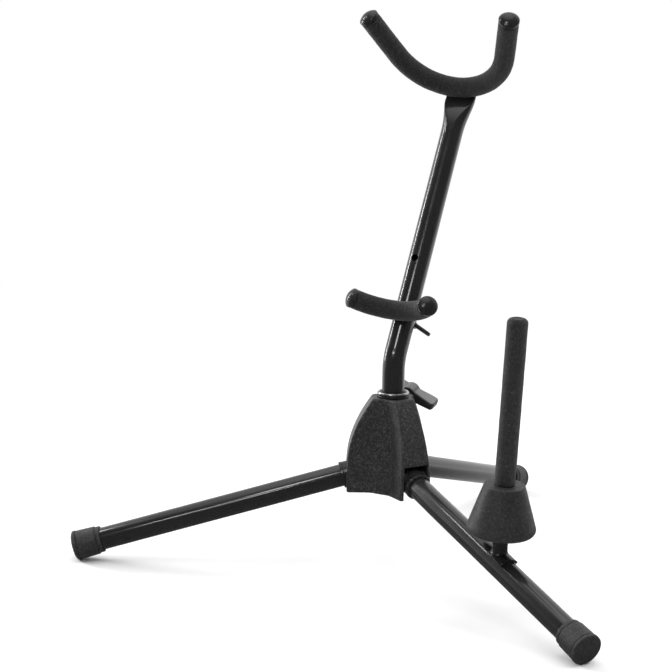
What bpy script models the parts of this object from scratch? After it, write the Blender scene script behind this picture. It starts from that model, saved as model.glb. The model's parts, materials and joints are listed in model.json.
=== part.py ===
"""Folding tripod stand for a saxophone, with a side peg for a second instrument.

Metres, +Z up. The origin is the middle of the footprint, on the floor. The rear leg runs along
+Y, the upright leans back over it, and the player's side is -Y.
"""

import math

import bmesh
import bpy
from mathutils import Matrix, Vector

OBJECT_NAME = "saxophone_stand"

# Fits
FIT_GAP = 0.0003            # clearance between neighbouring pieces
THREAD_CLEARANCE = 0.0002   # between a screw and the hole it turns in
CUT_OVERRUN = 0.004         # how far a cutter reaches past the face it cuts
MERGE_DISTANCE = 0.00001

# Steel tube that the legs and the upright are made of
TUBE_RADIUS = 0.010
TUBE_WALL = 0.0012
INSERTED_RADIUS = TUBE_RADIUS + FIT_GAP

# Legs: each runs straight from the hub's axis down to its foot
LEG_AZIMUTHS = {"left": 210.0, "right": 330.0, "rear": 90.0}
LEG_SLOPE = math.radians(16.06)
FOOT_REACH = 0.2834         # hub axis to the middle of a foot's end, level with the floor
FOOT_RADIUS = 0.0135
FOOT_FLAT_DEPTH = 0.0008    # how much of the foot's round is flattened on the floor
LEG_AXIS_HEIGHT = (FOOT_RADIUS * math.cos(LEG_SLOPE) - FOOT_FLAT_DEPTH
                   + FOOT_REACH * math.tan(LEG_SLOPE))

# Leg pivots in the hub
PIVOT_REACH = 0.0295
PIVOT_HEIGHT = LEG_AXIS_HEIGHT - PIVOT_REACH * math.tan(LEG_SLOPE)
PIN_RADIUS = 0.003
PIN_CLEARANCE = 0.0001
LEG_LENGTH = (FOOT_REACH - PIVOT_REACH) / math.cos(LEG_SLOPE)
KNUCKLE_RADIUS = 0.0116
KNUCKLE_EYE_RADIUS = 0.0108
KNUCKLE_LENGTH = 0.0155
KNUCKLE_EDGE_EASE = 0.0005
LEG_TUBE_START = 0.0063

# Rubber feet
FOOT_LENGTH = 0.0258
FOOT_MOUTH_RADIUS = 0.0119
FOOT_END_THICKNESS = 0.004
FOOT_DOME_RISE = 0.0012
FOOT_DOME_SHOULDER = 0.55   # where the dome's slope changes, as a share of the foot's radius
FOOT_EDGE_EASE = 0.0012
FOOT_GROOVE_DEPTH = 0.0005
FOOT_END_GROOVE_LENGTH = 0.0008
FOOT_LIP_LENGTH = 0.0026    # from the mouth to the groove behind the lip
FOOT_LIP_GROOVE_HALF_LENGTH = 0.0008
FOOT_LIP_EASE = 0.0005

# Hub housing: three lobes with a slot each, around a round socket
HUB_BOTTOM = 0.069
HUB_SHOULDER = 0.092        # below this height the lobes' outer faces stand upright
HUB_TOP = 0.1535
LOBE_REACH = 0.0402
LOBE_REACH_LOSS = 0.555     # part of the reach that is lost from the shoulder to the top
LOBE_HALF_WIDTH = 0.0156
LOBE_TOP_HALF_WIDTH = 0.0105
LOBE_NARROWING_POWER = 0.7
PANEL_BOTTOM_REACH = 0.0235  # hub axis to the middle of a hollow panel between two lobes
PANEL_TOP_REACH = 0.0162
PANEL_FOLD_SHARE = 0.36      # the panel's flat middle strip, as a share of the panel's width
PANEL_FOLD_EASE = 0.07
HUB_LEVELS = 9
LOBE_CORNER_BEVEL = 0.0014
LOBE_CORNER_ANGLE = math.radians(42.0)
SLOT_INNER_REACH = 0.0168
SLOT_HALF_WIDTH = 0.0120
SLOT_ROOF = 0.0985
PIN_POCKET_DEPTH = 0.0014
SOCKET_RADIUS = 0.0128
SOCKET_FLOOR = 0.0775

# Flanged bush and bright ring at the socket's mouth
BUSH_OUTER_RADIUS = SOCKET_RADIUS - FIT_GAP
BUSH_FLANGE_RADIUS = 0.0142
BUSH_FLANGE_THICKNESS = 0.0018
BUSH_NECK_RADIUS = 0.0116
BUSH_TOP = 0.1588
RING_MIDDLE_RADIUS = 0.0134
RING_BAR_RADIUS = 0.0015
RING_BAR_SEGMENTS = 8
RING_HEIGHT = 0.1575

# Clamp screw, square to the back of the housing
CLAMP_HEIGHT = 0.1462       # where its tip meets the bush
CLAMP_TIP_GAP = 0.0008      # keeps the tilted tip's upper edge off the bush
CLAMP_TILT = math.radians(14.0)
CLAMP_TURN = math.radians(25.0)
CLAMP_SCREW_RADIUS = 0.0029
CLAMP_SCREW_LENGTH = 0.0225
CLAMP_INSERT_RADIUS = 0.0038
CLAMP_INSERT_START = 0.0018
CLAMP_INSERT_LENGTH = 0.0065
CLAMP_NECK_RADIUS = 0.0045
CLAMP_NECK_START = 0.0112
CLAMP_BOSS_RADIUS = 0.0075
CLAMP_BOSS_START = 0.0145
CLAMP_BOSS_LENGTH = 0.0130
CLAMP_BOSS_EASE = 0.0012
CLAMP_WING_ROOT = 0.003     # each wing starts this far from the axis, inside the boss
CLAMP_WING_SPAN = 0.0258
CLAMP_WING_THICKNESS = 0.0070
CLAMP_WING_ROOT_GROWTH = 0.7  # how much thicker a wing is at its root than at its tip
CLAMP_WING_SETBACK = 0.0008  # from the boss's near end to the wing's near edge
CLAMP_WING_ROOT_DROP = 0.001
CLAMP_WING_TIP_RISE = 0.002
CLAMP_WING_CORNER = 0.0035
CLAMP_WING_EDGE = 0.0012

# Upright: straight up out of the hub, then leaning back
UPRIGHT_LEAN = math.radians(28.55)
UPRIGHT_BEND_HEIGHT = 0.1860
UPRIGHT_BEND_RADIUS = 0.040
UPRIGHT_BOTTOM = 0.0785
BOLT_ALONG = 0.041          # distances along the leaning part, from the bend's corner
SPARE_HOLE_ALONG = 0.094
BOLT_HOLE_RADIUS = 0.0032
PRESS_START_ALONG = 0.217   # the round tube begins to be pressed flat
PRESS_END_ALONG = 0.255
UPRIGHT_TOP_ALONG = 0.2668
BLADE_HALF_WIDTH = 0.0146
BLADE_HALF_THICKNESS = 0.0022
BLADE_SETBACK = 0.0016
BLADE_WIDENING_POWER = 1.5  # above 1, most of the widening is close under the blade
BLADE_INNER_HALF_THICKNESS = 0.0006

# Padded upper yoke, a U that the instrument's bell rests in
UPPER_YOKE_ALONG = 0.2642
UPPER_YOKE_FORWARD = 0.0047
UPPER_YOKE_TIP_FORWARD = math.radians(68.55)
UPPER_ARC_RADIUS = 0.0567
UPPER_ARC_HALF_ANGLE = math.radians(70.0)
UPPER_YOKE_HEIGHT = 0.0815
UPPER_SLEEVE_RADIUS = 0.0091
UPPER_PATH_STEP = 0.0075

# Padded lower yoke, a shallow arc that steadies the instrument's body
LOWER_YOKE_FORWARD = 0.0166
LOWER_YOKE_LIFT = math.radians(4.0)
LOWER_ARC_RADIUS = 0.047
LOWER_ARC_HALF_ANGLE = math.radians(53.6)
LOWER_SLEEVE_RADIUS = 0.0087
LOWER_PATH_STEP = 0.0065

# Rod, foam and end caps shared by both yokes
ROD_RADIUS = 0.004
FOAM_BORE_RADIUS = ROD_RADIUS + 2.0 * FIT_GAP
CAP_SKIRT = 0.003
CAP_EXTRA_RADIUS = 0.0002
CAP_DOME_SHARE = 0.42       # height of a cap's dome as a share of its radius
ROD_IN_CAP = 0.0015

# Threaded stud and wing nut behind the lower yoke
STUD_RADIUS = 0.0029
STUD_TAIL = 0.0245
NUT_BOSS_RADIUS = 0.0055
NUT_BOSS_LENGTH = 0.0065
NUT_BOSS_TAPER = 0.001
NUT_WING_INSET = 0.0012     # how far each wing starts inside the boss
NUT_WING_SPAN = 0.0205
NUT_WING_THICKNESS = 0.0034
NUT_WING_ROOT_SETBACK = 0.0015
NUT_WING_ROOT_DROP = 0.0005
NUT_WING_TIP_SETBACK = 0.0035
NUT_WING_SWEEP = 0.009
NUT_WING_EDGE = 0.0007
NUT_TURN = math.radians(24.0)

# Peg on the right leg
PEG_REACH = 0.1651          # hub axis to the crossing of the peg's axis and the leg's axis
PEG_LEAN = math.radians(4.2)
BOSS_STEM_RADIUS = 0.0065
BOSS_TOP = 0.0274
SADDLE_THICKNESS = 0.0022
SADDLE_HALF_LENGTH = 0.0100
SADDLE_HALF_ANGLE = math.radians(46.0)
SPINDLE_RADIUS = 0.0030
SPINDLE_BOTTOM = 0.0140
SPINDLE_TOP = 0.1050
STEM_BOTTOM = 0.0050
CONE_BOTTOM = BOSS_TOP + FIT_GAP
CONE_TOP = 0.0694
CONE_WIDEST_RADIUS = 0.0289
CONE_TOP_RADIUS = 0.0168
CONE_EDGE_RADIUS = 0.0050
CONE_WALL = 0.0030
CONE_HUB_RADIUS = 0.0070
CONE_TOP_EASE = 0.001
CONE_FLANK_ANGLE = 18.0     # degrees above level at which the flank leaves the round lower edge
CONE_LIP_WIDTH = 0.001
CONE_LIP_HEIGHT = 0.0015
CORE_RADIUS = 0.0069
CORE_TOP = 0.1985
CORE_EASE = 0.001
COVER_RADIUS = 0.0085
COVER_TOP = 0.2078
COVER_DOME_RISE = 0.0068
COVER_DOME_STEPS = 5

# Facets round a full turn
SEGMENTS_LARGE = 32
SEGMENTS_MEDIUM = 24
SEGMENTS_SMALL = 16
SMOOTH_ANGLE = math.radians(35.0)

COLOURS = {
    "gloss_paint": ((0.012, 0.012, 0.013), 0.22, 0.6),
    "hub_plastic": ((0.045, 0.045, 0.047), 0.55, 0.0),
    "black_plastic": ((0.020, 0.020, 0.021), 0.45, 0.0),
    "chrome": ((0.750, 0.750, 0.760), 0.12, 1.0),
    "zinc_steel": ((0.520, 0.520, 0.510), 0.35, 1.0),
    "brass": ((0.620, 0.460, 0.180), 0.30, 1.0),
    "foam": ((0.018, 0.018, 0.018), 0.90, 0.0),
    "rubber": ((0.028, 0.028, 0.029), 0.70, 0.0),
    "felt": ((0.035, 0.035, 0.037), 0.95, 0.0),
}


# ---------------------------------------------------------------- scene set-up

def clear_scene():
    for item in list(bpy.data.objects):
        bpy.data.objects.remove(item, do_unlink=True)


def new_collection(name):
    collection = bpy.data.collections.new(name)
    bpy.context.scene.collection.children.link(collection)
    return collection


def new_material(name, colour, roughness, metallic):
    material = bpy.data.materials.new(name)
    material.use_nodes = True
    shader = material.node_tree.nodes["Principled BSDF"]
    shader.inputs["Base Color"].default_value = (*colour, 1.0)
    shader.inputs["Roughness"].default_value = roughness
    shader.inputs["Metallic"].default_value = metallic
    return material


clear_scene()
PARTS = new_collection(OBJECT_NAME)
CUTTERS = new_collection("cutters")


def new_empty(name, parent=None, matrix=None):
    empty = bpy.data.objects.new(name, None)
    PARTS.objects.link(empty)
    empty.parent = parent
    if matrix is not None:
        empty.matrix_local = matrix
    return empty


def place(item, parent, matrix):
    item.parent = parent
    if matrix is not None:
        item.matrix_local = matrix
    return item


def new_part(name, mesh, finish, parent=None, matrix=None):
    """A sub-part with a material of its own in one of the finishes."""
    part = bpy.data.objects.new(name, mesh)
    PARTS.objects.link(part)
    mesh.materials.clear()
    mesh.materials.append(new_material(name, *COLOURS[finish]))
    return place(part, parent, matrix)


def new_cutter(name, mesh, parent=None, matrix=None):
    cutter = bpy.data.objects.new(name, mesh)
    CUTTERS.objects.link(cutter)
    cutter.hide_render = True
    cutter.display_type = "WIRE"
    return place(cutter, parent, matrix)


# ---------------------------------------------------------------- mesh tools

def mesh_from_bmesh(name, bm):
    mesh = bpy.data.meshes.new(name)
    bm.to_mesh(mesh)
    bm.free()
    return mesh


def cylinder_mesh(name, radius, start, end, segments=SEGMENTS_MEDIUM, axis="Z"):
    """A solid cylinder from start to end along the named axis."""
    turn = {"X": Matrix.Rotation(math.radians(90.0), 4, "Y"),
            "Y": Matrix.Rotation(math.radians(-90.0), 4, "X"),
            "Z": Matrix.Identity(4)}[axis]
    bm = bmesh.new()
    middle = Matrix.Translation((0.0, 0.0, (start + end) / 2.0))
    bmesh.ops.create_cone(bm, cap_ends=True, segments=segments, radius1=radius,
                          radius2=radius, depth=end - start, matrix=turn @ middle)
    return mesh_from_bmesh(name, bm)


def box_mesh(name, low, high):
    low = Vector(low)
    high = Vector(high)
    bm = bmesh.new()
    size = Matrix.Diagonal((*(high - low), 1.0))
    bmesh.ops.create_cube(bm, size=1.0, matrix=Matrix.Translation((low + high) / 2.0) @ size)
    return mesh_from_bmesh(name, bm)


def evaluated_mesh(item):
    """The object's shape with its modifiers applied, as a new mesh."""
    bpy.context.view_layer.update()
    graph = bpy.context.evaluated_depsgraph_get()
    return bpy.data.meshes.new_from_object(item.evaluated_get(graph))


def bake(item):
    """Applies the modifiers of a mesh object and shades it smooth up to its sharp edges."""
    mesh = evaluated_mesh(item)
    item.modifiers.clear()
    item.data = mesh
    mesh.shade_smooth()
    mesh.set_sharp_from_angle(angle=SMOOTH_ANGLE)
    return item


def turned_mesh(name, profile, segments, closed):
    """Turns a profile in the XZ plane about Z. A closed profile gives a ring or a sleeve."""
    count = len(profile)
    edges = [(i, i + 1) for i in range(count - 1)]
    if closed:
        edges.append((count - 1, 0))
    outline = bpy.data.meshes.new(name + "_profile")
    outline.from_pydata([(x, 0.0, z) for x, z in profile], edges, [])
    item = bpy.data.objects.new(name + "_profile", outline)
    CUTTERS.objects.link(item)
    screw = item.modifiers.new("turn", "SCREW")
    screw.axis = "Z"
    screw.angle = math.tau
    screw.steps = segments
    screw.render_steps = segments
    screw.use_merge_vertices = True
    screw.merge_threshold = MERGE_DISTANCE
    mesh = evaluated_mesh(item)
    mesh.name = name
    bpy.data.objects.remove(item, do_unlink=True)
    return mesh


def arc_points(centre, radius, start, end, steps):
    """Points on an arc in the XZ plane; angles in degrees, from +X towards +Z."""
    points = []
    for i in range(steps + 1):
        angle = math.radians(start + (end - start) * i / steps)
        points.append((centre[0] + radius * math.cos(angle), centre[1] + radius * math.sin(angle)))
    return points


def curve_mesh(name, points, radius, capped, resolution):
    """A round bar, or an open round skin, along a line of points."""
    curve = bpy.data.curves.new(name, "CURVE")
    curve.dimensions = "3D"
    curve.bevel_depth = radius
    curve.bevel_resolution = resolution
    curve.use_fill_caps = capped
    spline = curve.splines.new("POLY")
    spline.points.add(len(points) - 1)
    for point, place_of_point in zip(spline.points, points):
        point.co = (*place_of_point, 1.0)
    item = bpy.data.objects.new(name, curve)
    CUTTERS.objects.link(item)
    mesh = evaluated_mesh(item)
    bpy.data.objects.remove(item, do_unlink=True)
    bm = bmesh.new()
    bm.from_mesh(mesh)
    bmesh.ops.remove_doubles(bm, verts=bm.verts, dist=MERGE_DISTANCE)
    bmesh.ops.recalc_face_normals(bm, faces=bm.faces)
    bm.to_mesh(mesh)
    bm.free()
    return mesh


def plate_mesh(name, outline, thickness, bevel):
    """A flat plate in the XZ plane from its outline, with eased edges."""
    curve = bpy.data.curves.new(name, "CURVE")
    curve.dimensions = "2D"
    curve.fill_mode = "BOTH"
    curve.extrude = thickness / 2.0
    spline = curve.splines.new("POLY")
    spline.points.add(len(outline) - 1)
    spline.use_cyclic_u = True
    for point, (x, z) in zip(spline.points, outline):
        point.co = (x, z, 0.0, 1.0)
    item = bpy.data.objects.new(name, curve)
    CUTTERS.objects.link(item)
    mesh = evaluated_mesh(item)
    bpy.data.objects.remove(item, do_unlink=True)
    bm = bmesh.new()
    bm.from_mesh(mesh)
    bmesh.ops.remove_doubles(bm, verts=bm.verts, dist=MERGE_DISTANCE)
    bmesh.ops.recalc_face_normals(bm, faces=bm.faces)
    bmesh.ops.transform(bm, matrix=Matrix.Rotation(math.radians(90.0), 4, "X"), verts=bm.verts)
    bm.to_mesh(mesh)
    bm.free()
    item = bpy.data.objects.new(name, mesh)
    CUTTERS.objects.link(item)
    ease = item.modifiers.new("ease", "BEVEL")
    ease.width = bevel
    ease.segments = 2
    ease.limit_method = "ANGLE"
    eased = evaluated_mesh(item)
    bpy.data.objects.remove(item, do_unlink=True)
    return eased


def loft_mesh(name, rings, closed_ends):
    """Skins a stack of equal-sized rings. With closed_ends the first and last are filled."""
    bm = bmesh.new()
    rows = [[bm.verts.new(point) for point in ring] for ring in rings]
    count = len(rings[0])
    for low, high in zip(rows, rows[1:]):
        for i in range(count):
            j = (i + 1) % count
            bm.faces.new((low[i], low[j], high[j], high[i]))
    if closed_ends:
        bm.faces.new(rows[0])
        bm.faces.new(rows[-1])
    else:
        for i in range(count):
            j = (i + 1) % count
            bm.faces.new((rows[0][i], rows[0][j], rows[-1][j], rows[-1][i]))
    bmesh.ops.recalc_face_normals(bm, faces=bm.faces)
    return mesh_from_bmesh(name, bm)


def combine(part, operation, tools):
    """Cuts or joins other bodies into a part with exact Booleans, in order."""
    for tool in tools:
        step = part.modifiers.new(tool.name, "BOOLEAN")
        step.operation = operation
        step.solver = "EXACT"
        step.object = tool
    return part


# ---------------------------------------------------------------- frames of the joints

def rotation(angle, axis):
    """A turn about an axis, in radians."""
    return Matrix.Rotation(angle, 4, axis)


def leg_frame_matrix(side):
    """From the hub's axis at floor level to a leg's upright plane, +X outwards."""
    return rotation(math.radians(LEG_AZIMUTHS[side]), "Z")


def pivot_matrix():
    """From a leg's plane to its pivot, +X along the leg towards the foot."""
    return Matrix.Translation((PIVOT_REACH, 0.0, PIVOT_HEIGHT)) @ rotation(LEG_SLOPE, "Y")


def peg_matrix():
    """From the leg's pivot frame to the peg's axis, +Z up the peg."""
    crossing_height = LEG_AXIS_HEIGHT - PEG_REACH * math.tan(LEG_SLOPE)
    in_plane = Matrix.Translation((PEG_REACH, 0.0, crossing_height)) @ rotation(PEG_LEAN, "Y")
    return pivot_matrix().inverted() @ in_plane


def clamp_matrix():
    """From the hub's axis to the clamp screw's tip, +Y out along the screw."""
    return (Matrix.Translation((0.0, BUSH_OUTER_RADIUS + CLAMP_TIP_GAP, CLAMP_HEIGHT))
            @ rotation(CLAMP_TILT, "X"))


def lean_matrix():
    """From the hub's axis to the bend's corner, +Z up the leaning tube."""
    return (Matrix.Translation((0.0, 0.0, UPRIGHT_BEND_HEIGHT))
            @ rotation(-UPRIGHT_LEAN, "X"))


def along_y(matrix=None):
    """Stands a piece turned about Z along +Y instead."""
    turn = rotation(math.radians(-90.0), "X")
    return turn if matrix is None else matrix @ turn


def along_x(matrix=None):
    """Lays a piece turned about Z along +X instead."""
    turn = rotation(math.radians(90.0), "Y")
    return turn if matrix is None else matrix @ turn


# ---------------------------------------------------------------- hub

def lobe_section(height):
    """Reach and half width of a lobe and reach of the panels, at one height."""
    rise = max(0.0, (height - HUB_SHOULDER) / (HUB_TOP - HUB_SHOULDER))
    whole_rise = (height - HUB_BOTTOM) / (HUB_TOP - HUB_BOTTOM)
    reach = LOBE_REACH * (1.0 - LOBE_REACH_LOSS * rise ** 2)
    narrowing = (LOBE_HALF_WIDTH - LOBE_TOP_HALF_WIDTH) * rise ** LOBE_NARROWING_POWER
    panel = PANEL_BOTTOM_REACH + (PANEL_TOP_REACH - PANEL_BOTTOM_REACH) * whole_rise
    return reach, LOBE_HALF_WIDTH - narrowing, panel


def hub_ring(height):
    """Outline of the housing at one height: three lobe ends and three folded panels."""
    reach, half_width, panel = lobe_section(height)
    sixth_turn = math.radians(60.0)
    corner_x = reach * math.cos(sixth_turn) + half_width * math.sin(sixth_turn)
    corner_y = reach * math.sin(sixth_turn) - half_width * math.cos(sixth_turn)
    inner_share = PANEL_FOLD_SHARE - PANEL_FOLD_EASE
    outer_share = PANEL_FOLD_SHARE + PANEL_FOLD_EASE
    ring = []
    for side in ("left", "right", "rear"):
        middle = math.radians(LEG_AZIMUTHS[side]) + sixth_turn
        for share in (-1.0, -outer_share, -inner_share, inner_share, outer_share, 1.0):
            flank = max(0.0, (abs(share) - PANEL_FOLD_SHARE) / (1.0 - PANEL_FOLD_SHARE))
            x = panel + (corner_x - panel) * flank
            y = corner_y * share
            ring.append((x * math.cos(middle) - y * math.sin(middle),
                         x * math.sin(middle) + y * math.cos(middle), height))
    return ring


def build_housing(stand, leg_frames, clamp):
    heights = [HUB_BOTTOM]
    for i in range(HUB_LEVELS):
        heights.append(HUB_SHOULDER + (HUB_TOP - HUB_SHOULDER) * i / (HUB_LEVELS - 1))
    mesh = loft_mesh("hub_housing", [hub_ring(z) for z in heights], closed_ends=True)
    housing = new_part("hub_housing", mesh, "hub_plastic", stand)
    ease = housing.modifiers.new("lobe_corners", "BEVEL")
    ease.width = LOBE_CORNER_BEVEL
    ease.segments = 2
    ease.limit_method = "ANGLE"
    ease.angle_limit = LOBE_CORNER_ANGLE
    tools = [new_cutter("socket_cut", cylinder_mesh(
        "socket_cut", SOCKET_RADIUS, SOCKET_FLOOR, HUB_TOP + CUT_OVERRUN, SEGMENTS_LARGE), stand)]
    pin_half = SLOT_HALF_WIDTH + PIN_POCKET_DEPTH
    for side, frame in leg_frames.items():
        slot = box_mesh("slot_cut_" + side,
                        (SLOT_INNER_REACH, -SLOT_HALF_WIDTH, HUB_BOTTOM - CUT_OVERRUN),
                        (LOBE_REACH + CUT_OVERRUN, SLOT_HALF_WIDTH, SLOT_ROOF))
        tools.append(new_cutter("slot_cut_" + side, slot, frame))
        pocket = cylinder_mesh("pin_pocket_" + side, PIN_RADIUS + FIT_GAP,
                               -pin_half - FIT_GAP, pin_half + FIT_GAP, SEGMENTS_SMALL, "Y")
        tools.append(new_cutter("pin_pocket_" + side, pocket, frame,
                                Matrix.Translation((PIVOT_REACH, 0.0, PIVOT_HEIGHT))))
    bore = cylinder_mesh("clamp_bore", CLAMP_SCREW_RADIUS + FIT_GAP, -CUT_OVERRUN,
                         CLAMP_BOSS_START, SEGMENTS_SMALL, "Y")
    tools.append(new_cutter("clamp_bore", bore, clamp))
    seat = cylinder_mesh("insert_seat", CLAMP_INSERT_RADIUS + FIT_GAP,
                         CLAMP_INSERT_START - FIT_GAP, CLAMP_BOSS_START + CUT_OVERRUN,
                         SEGMENTS_MEDIUM, "Y")
    tools.append(new_cutter("insert_seat", seat, clamp))
    combine(housing, "DIFFERENCE", tools)
    return bake(housing)


def build_pivot_pin(side, frame):
    half = SLOT_HALF_WIDTH + PIN_POCKET_DEPTH
    ease = 0.0004
    profile = [(0.0, half), (PIN_RADIUS - ease, half), (PIN_RADIUS, half - ease),
               (PIN_RADIUS, -half + ease), (PIN_RADIUS - ease, -half), (0.0, -half)]
    mesh = turned_mesh(side + "_pivot_pin", profile, SEGMENTS_SMALL, closed=False)
    centre = Matrix.Translation((PIVOT_REACH, 0.0, PIVOT_HEIGHT))
    return bake(new_part(side + "_pivot_pin", mesh, "zinc_steel", frame, along_y(centre)))


def build_bush(swivel):
    flange_low = HUB_TOP + FIT_GAP
    flange_high = flange_low + BUSH_FLANGE_THICKNESS
    profile = [(INSERTED_RADIUS, BUSH_TOP), (BUSH_NECK_RADIUS, BUSH_TOP),
               (BUSH_NECK_RADIUS, flange_high), (BUSH_FLANGE_RADIUS, flange_high),
               (BUSH_FLANGE_RADIUS, flange_low), (BUSH_OUTER_RADIUS, flange_low),
               (BUSH_OUTER_RADIUS, UPRIGHT_BOTTOM), (INSERTED_RADIUS, UPRIGHT_BOTTOM)]
    mesh = turned_mesh("hub_bush", profile, SEGMENTS_LARGE, closed=True)
    return bake(new_part("hub_bush", mesh, "black_plastic", swivel))


def build_collar_ring(swivel):
    bpy.ops.mesh.primitive_torus_add(major_radius=RING_MIDDLE_RADIUS,
                                     minor_radius=RING_BAR_RADIUS,
                                     major_segments=SEGMENTS_LARGE,
                                     minor_segments=RING_BAR_SEGMENTS)
    made = bpy.context.object
    mesh = made.data
    bpy.data.objects.remove(made, do_unlink=True)
    return bake(new_part("hub_collar_ring", mesh, "chrome", swivel,
                         Matrix.Translation((0.0, 0.0, RING_HEIGHT))))


# ---------------------------------------------------------------- clamp

def wing_outline(root, tip, corner):
    """Right-hand wing of a wing screw; root and tip are (distance out, low edge, high edge)."""
    root_x, root_low, root_high = root
    span, tip_low, tip_high = tip
    outline = [(root_x, root_low)]
    outline += arc_points((span - corner, tip_low + corner), corner, -90.0, 0.0, 4)
    outline += arc_points((span - corner, tip_high - corner), corner, 0.0, 90.0, 4)
    outline.append((root_x, root_high))
    return outline


def thicken_root(mesh, span, growth):
    """Makes a wing thicker towards its root."""
    for vertex in mesh.vertices:
        vertex.co.y *= 1.0 + growth * max(0.0, 1.0 - vertex.co.x / span)
    return mesh


def add_wings(name, part, parent, matrix, outline, thickness, bevel, root_growth):
    """Joins two opposite wings to a turned boss; the outline's second value runs along +Y."""
    span = max(x for x, z in outline)
    for turn in (0.0, math.pi):
        label = f"{name}_wing_{'a' if turn == 0.0 else 'b'}"
        lay_flat = rotation(turn, "Y") @ rotation(math.radians(-90.0), "X")
        mesh = thicken_root(plate_mesh(label, outline, thickness, bevel), span, root_growth)
        wing = new_cutter(label, mesh, parent, matrix @ lay_flat)
        combine(part, "UNION", [wing])


def build_clamp_insert(clamp):
    inner = CLAMP_SCREW_RADIUS + THREAD_CLEARANCE
    low = CLAMP_INSERT_START
    high = low + CLAMP_INSERT_LENGTH
    profile = [(inner, high), (CLAMP_INSERT_RADIUS, high), (CLAMP_INSERT_RADIUS, low), (inner, low)]
    mesh = turned_mesh("clamp_insert", profile, SEGMENTS_MEDIUM, closed=True)
    return bake(new_part("clamp_insert", mesh, "brass", clamp, along_y()))


def build_clamp_screw(turning):
    ease = 0.0008
    high = CLAMP_SCREW_LENGTH
    profile = [(0.0, high), (CLAMP_SCREW_RADIUS, high), (CLAMP_SCREW_RADIUS, ease),
               (CLAMP_SCREW_RADIUS - ease, 0.0), (0.0, 0.0)]
    mesh = turned_mesh("clamp_screw", profile, SEGMENTS_SMALL, closed=False)
    return bake(new_part("clamp_screw", mesh, "zinc_steel", turning, along_y()))


def build_clamp_knob(turning):
    low = CLAMP_BOSS_START
    high = low + CLAMP_BOSS_LENGTH
    ease = CLAMP_BOSS_EASE
    profile = [(0.0, high), (CLAMP_BOSS_RADIUS - ease, high), (CLAMP_BOSS_RADIUS, high - ease),
               (CLAMP_BOSS_RADIUS, low + ease), (CLAMP_BOSS_RADIUS - ease, low),
               (CLAMP_NECK_RADIUS, low), (CLAMP_NECK_RADIUS, CLAMP_NECK_START),
               (0.0, CLAMP_NECK_START)]
    mesh = turned_mesh("clamp_knob", profile, SEGMENTS_MEDIUM, closed=False)
    knob = new_part("clamp_knob", mesh, "black_plastic", turning, along_y())
    near_edge = low + CLAMP_WING_SETBACK
    outline = wing_outline((CLAMP_WING_ROOT, near_edge, high - CLAMP_WING_ROOT_DROP),
                           (CLAMP_WING_SPAN, near_edge, high + CLAMP_WING_TIP_RISE),
                           CLAMP_WING_CORNER)
    add_wings("clamp_knob", knob, turning, rotation(CLAMP_TURN, "Y"), outline,
              CLAMP_WING_THICKNESS, CLAMP_WING_EDGE, CLAMP_WING_ROOT_GROWTH)
    bore = cylinder_mesh("knob_bore", CLAMP_SCREW_RADIUS + FIT_GAP,
                         CLAMP_NECK_START - CUT_OVERRUN,
                         CLAMP_SCREW_LENGTH + FIT_GAP, SEGMENTS_SMALL, "Y")
    combine(knob, "DIFFERENCE", [new_cutter("knob_bore", bore, turning)])
    return bake(knob)


# ---------------------------------------------------------------- legs

def build_knuckle(side, pivot):
    """Plastic root of a leg: an eye round the pivot pin and a collar round the tube's end."""
    name = side + "_leg_knuckle"
    collar = cylinder_mesh(name, KNUCKLE_RADIUS, 0.0, KNUCKLE_LENGTH, SEGMENTS_LARGE, "X")
    knuckle = new_part(name, collar, "black_plastic", pivot)
    ease = knuckle.modifiers.new("ease", "BEVEL")
    ease.width = KNUCKLE_EDGE_EASE
    ease.segments = 1
    ease.limit_method = "ANGLE"
    eye_half = SLOT_HALF_WIDTH - FIT_GAP * 2.0
    eye = cylinder_mesh(name + "_eye", KNUCKLE_EYE_RADIUS, -eye_half, eye_half,
                        SEGMENTS_LARGE, "Y")
    combine(knuckle, "UNION", [new_cutter(name + "_eye", eye, pivot)])
    socket = cylinder_mesh(name + "_socket", INSERTED_RADIUS, LEG_TUBE_START - FIT_GAP,
                           KNUCKLE_LENGTH + CUT_OVERRUN, SEGMENTS_LARGE, "X")
    bore = cylinder_mesh(name + "_bore", PIN_RADIUS + PIN_CLEARANCE, -SLOT_HALF_WIDTH,
                         SLOT_HALF_WIDTH, SEGMENTS_SMALL, "Y")
    combine(knuckle, "DIFFERENCE", [new_cutter(name + "_socket", socket, pivot),
                                    new_cutter(name + "_bore", bore, pivot)])
    return bake(knuckle)


def build_leg_tube(side, pivot):
    start = LEG_TUBE_START
    end = LEG_LENGTH - FOOT_END_THICKNESS - FIT_GAP
    inner = TUBE_RADIUS - TUBE_WALL
    profile = [(inner, end), (TUBE_RADIUS, end), (TUBE_RADIUS, start), (inner, start)]
    mesh = turned_mesh(side + "_leg_tube", profile, SEGMENTS_LARGE, closed=True)
    return bake(new_part(side + "_leg_tube", mesh, "gloss_paint", pivot, along_x()))


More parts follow.
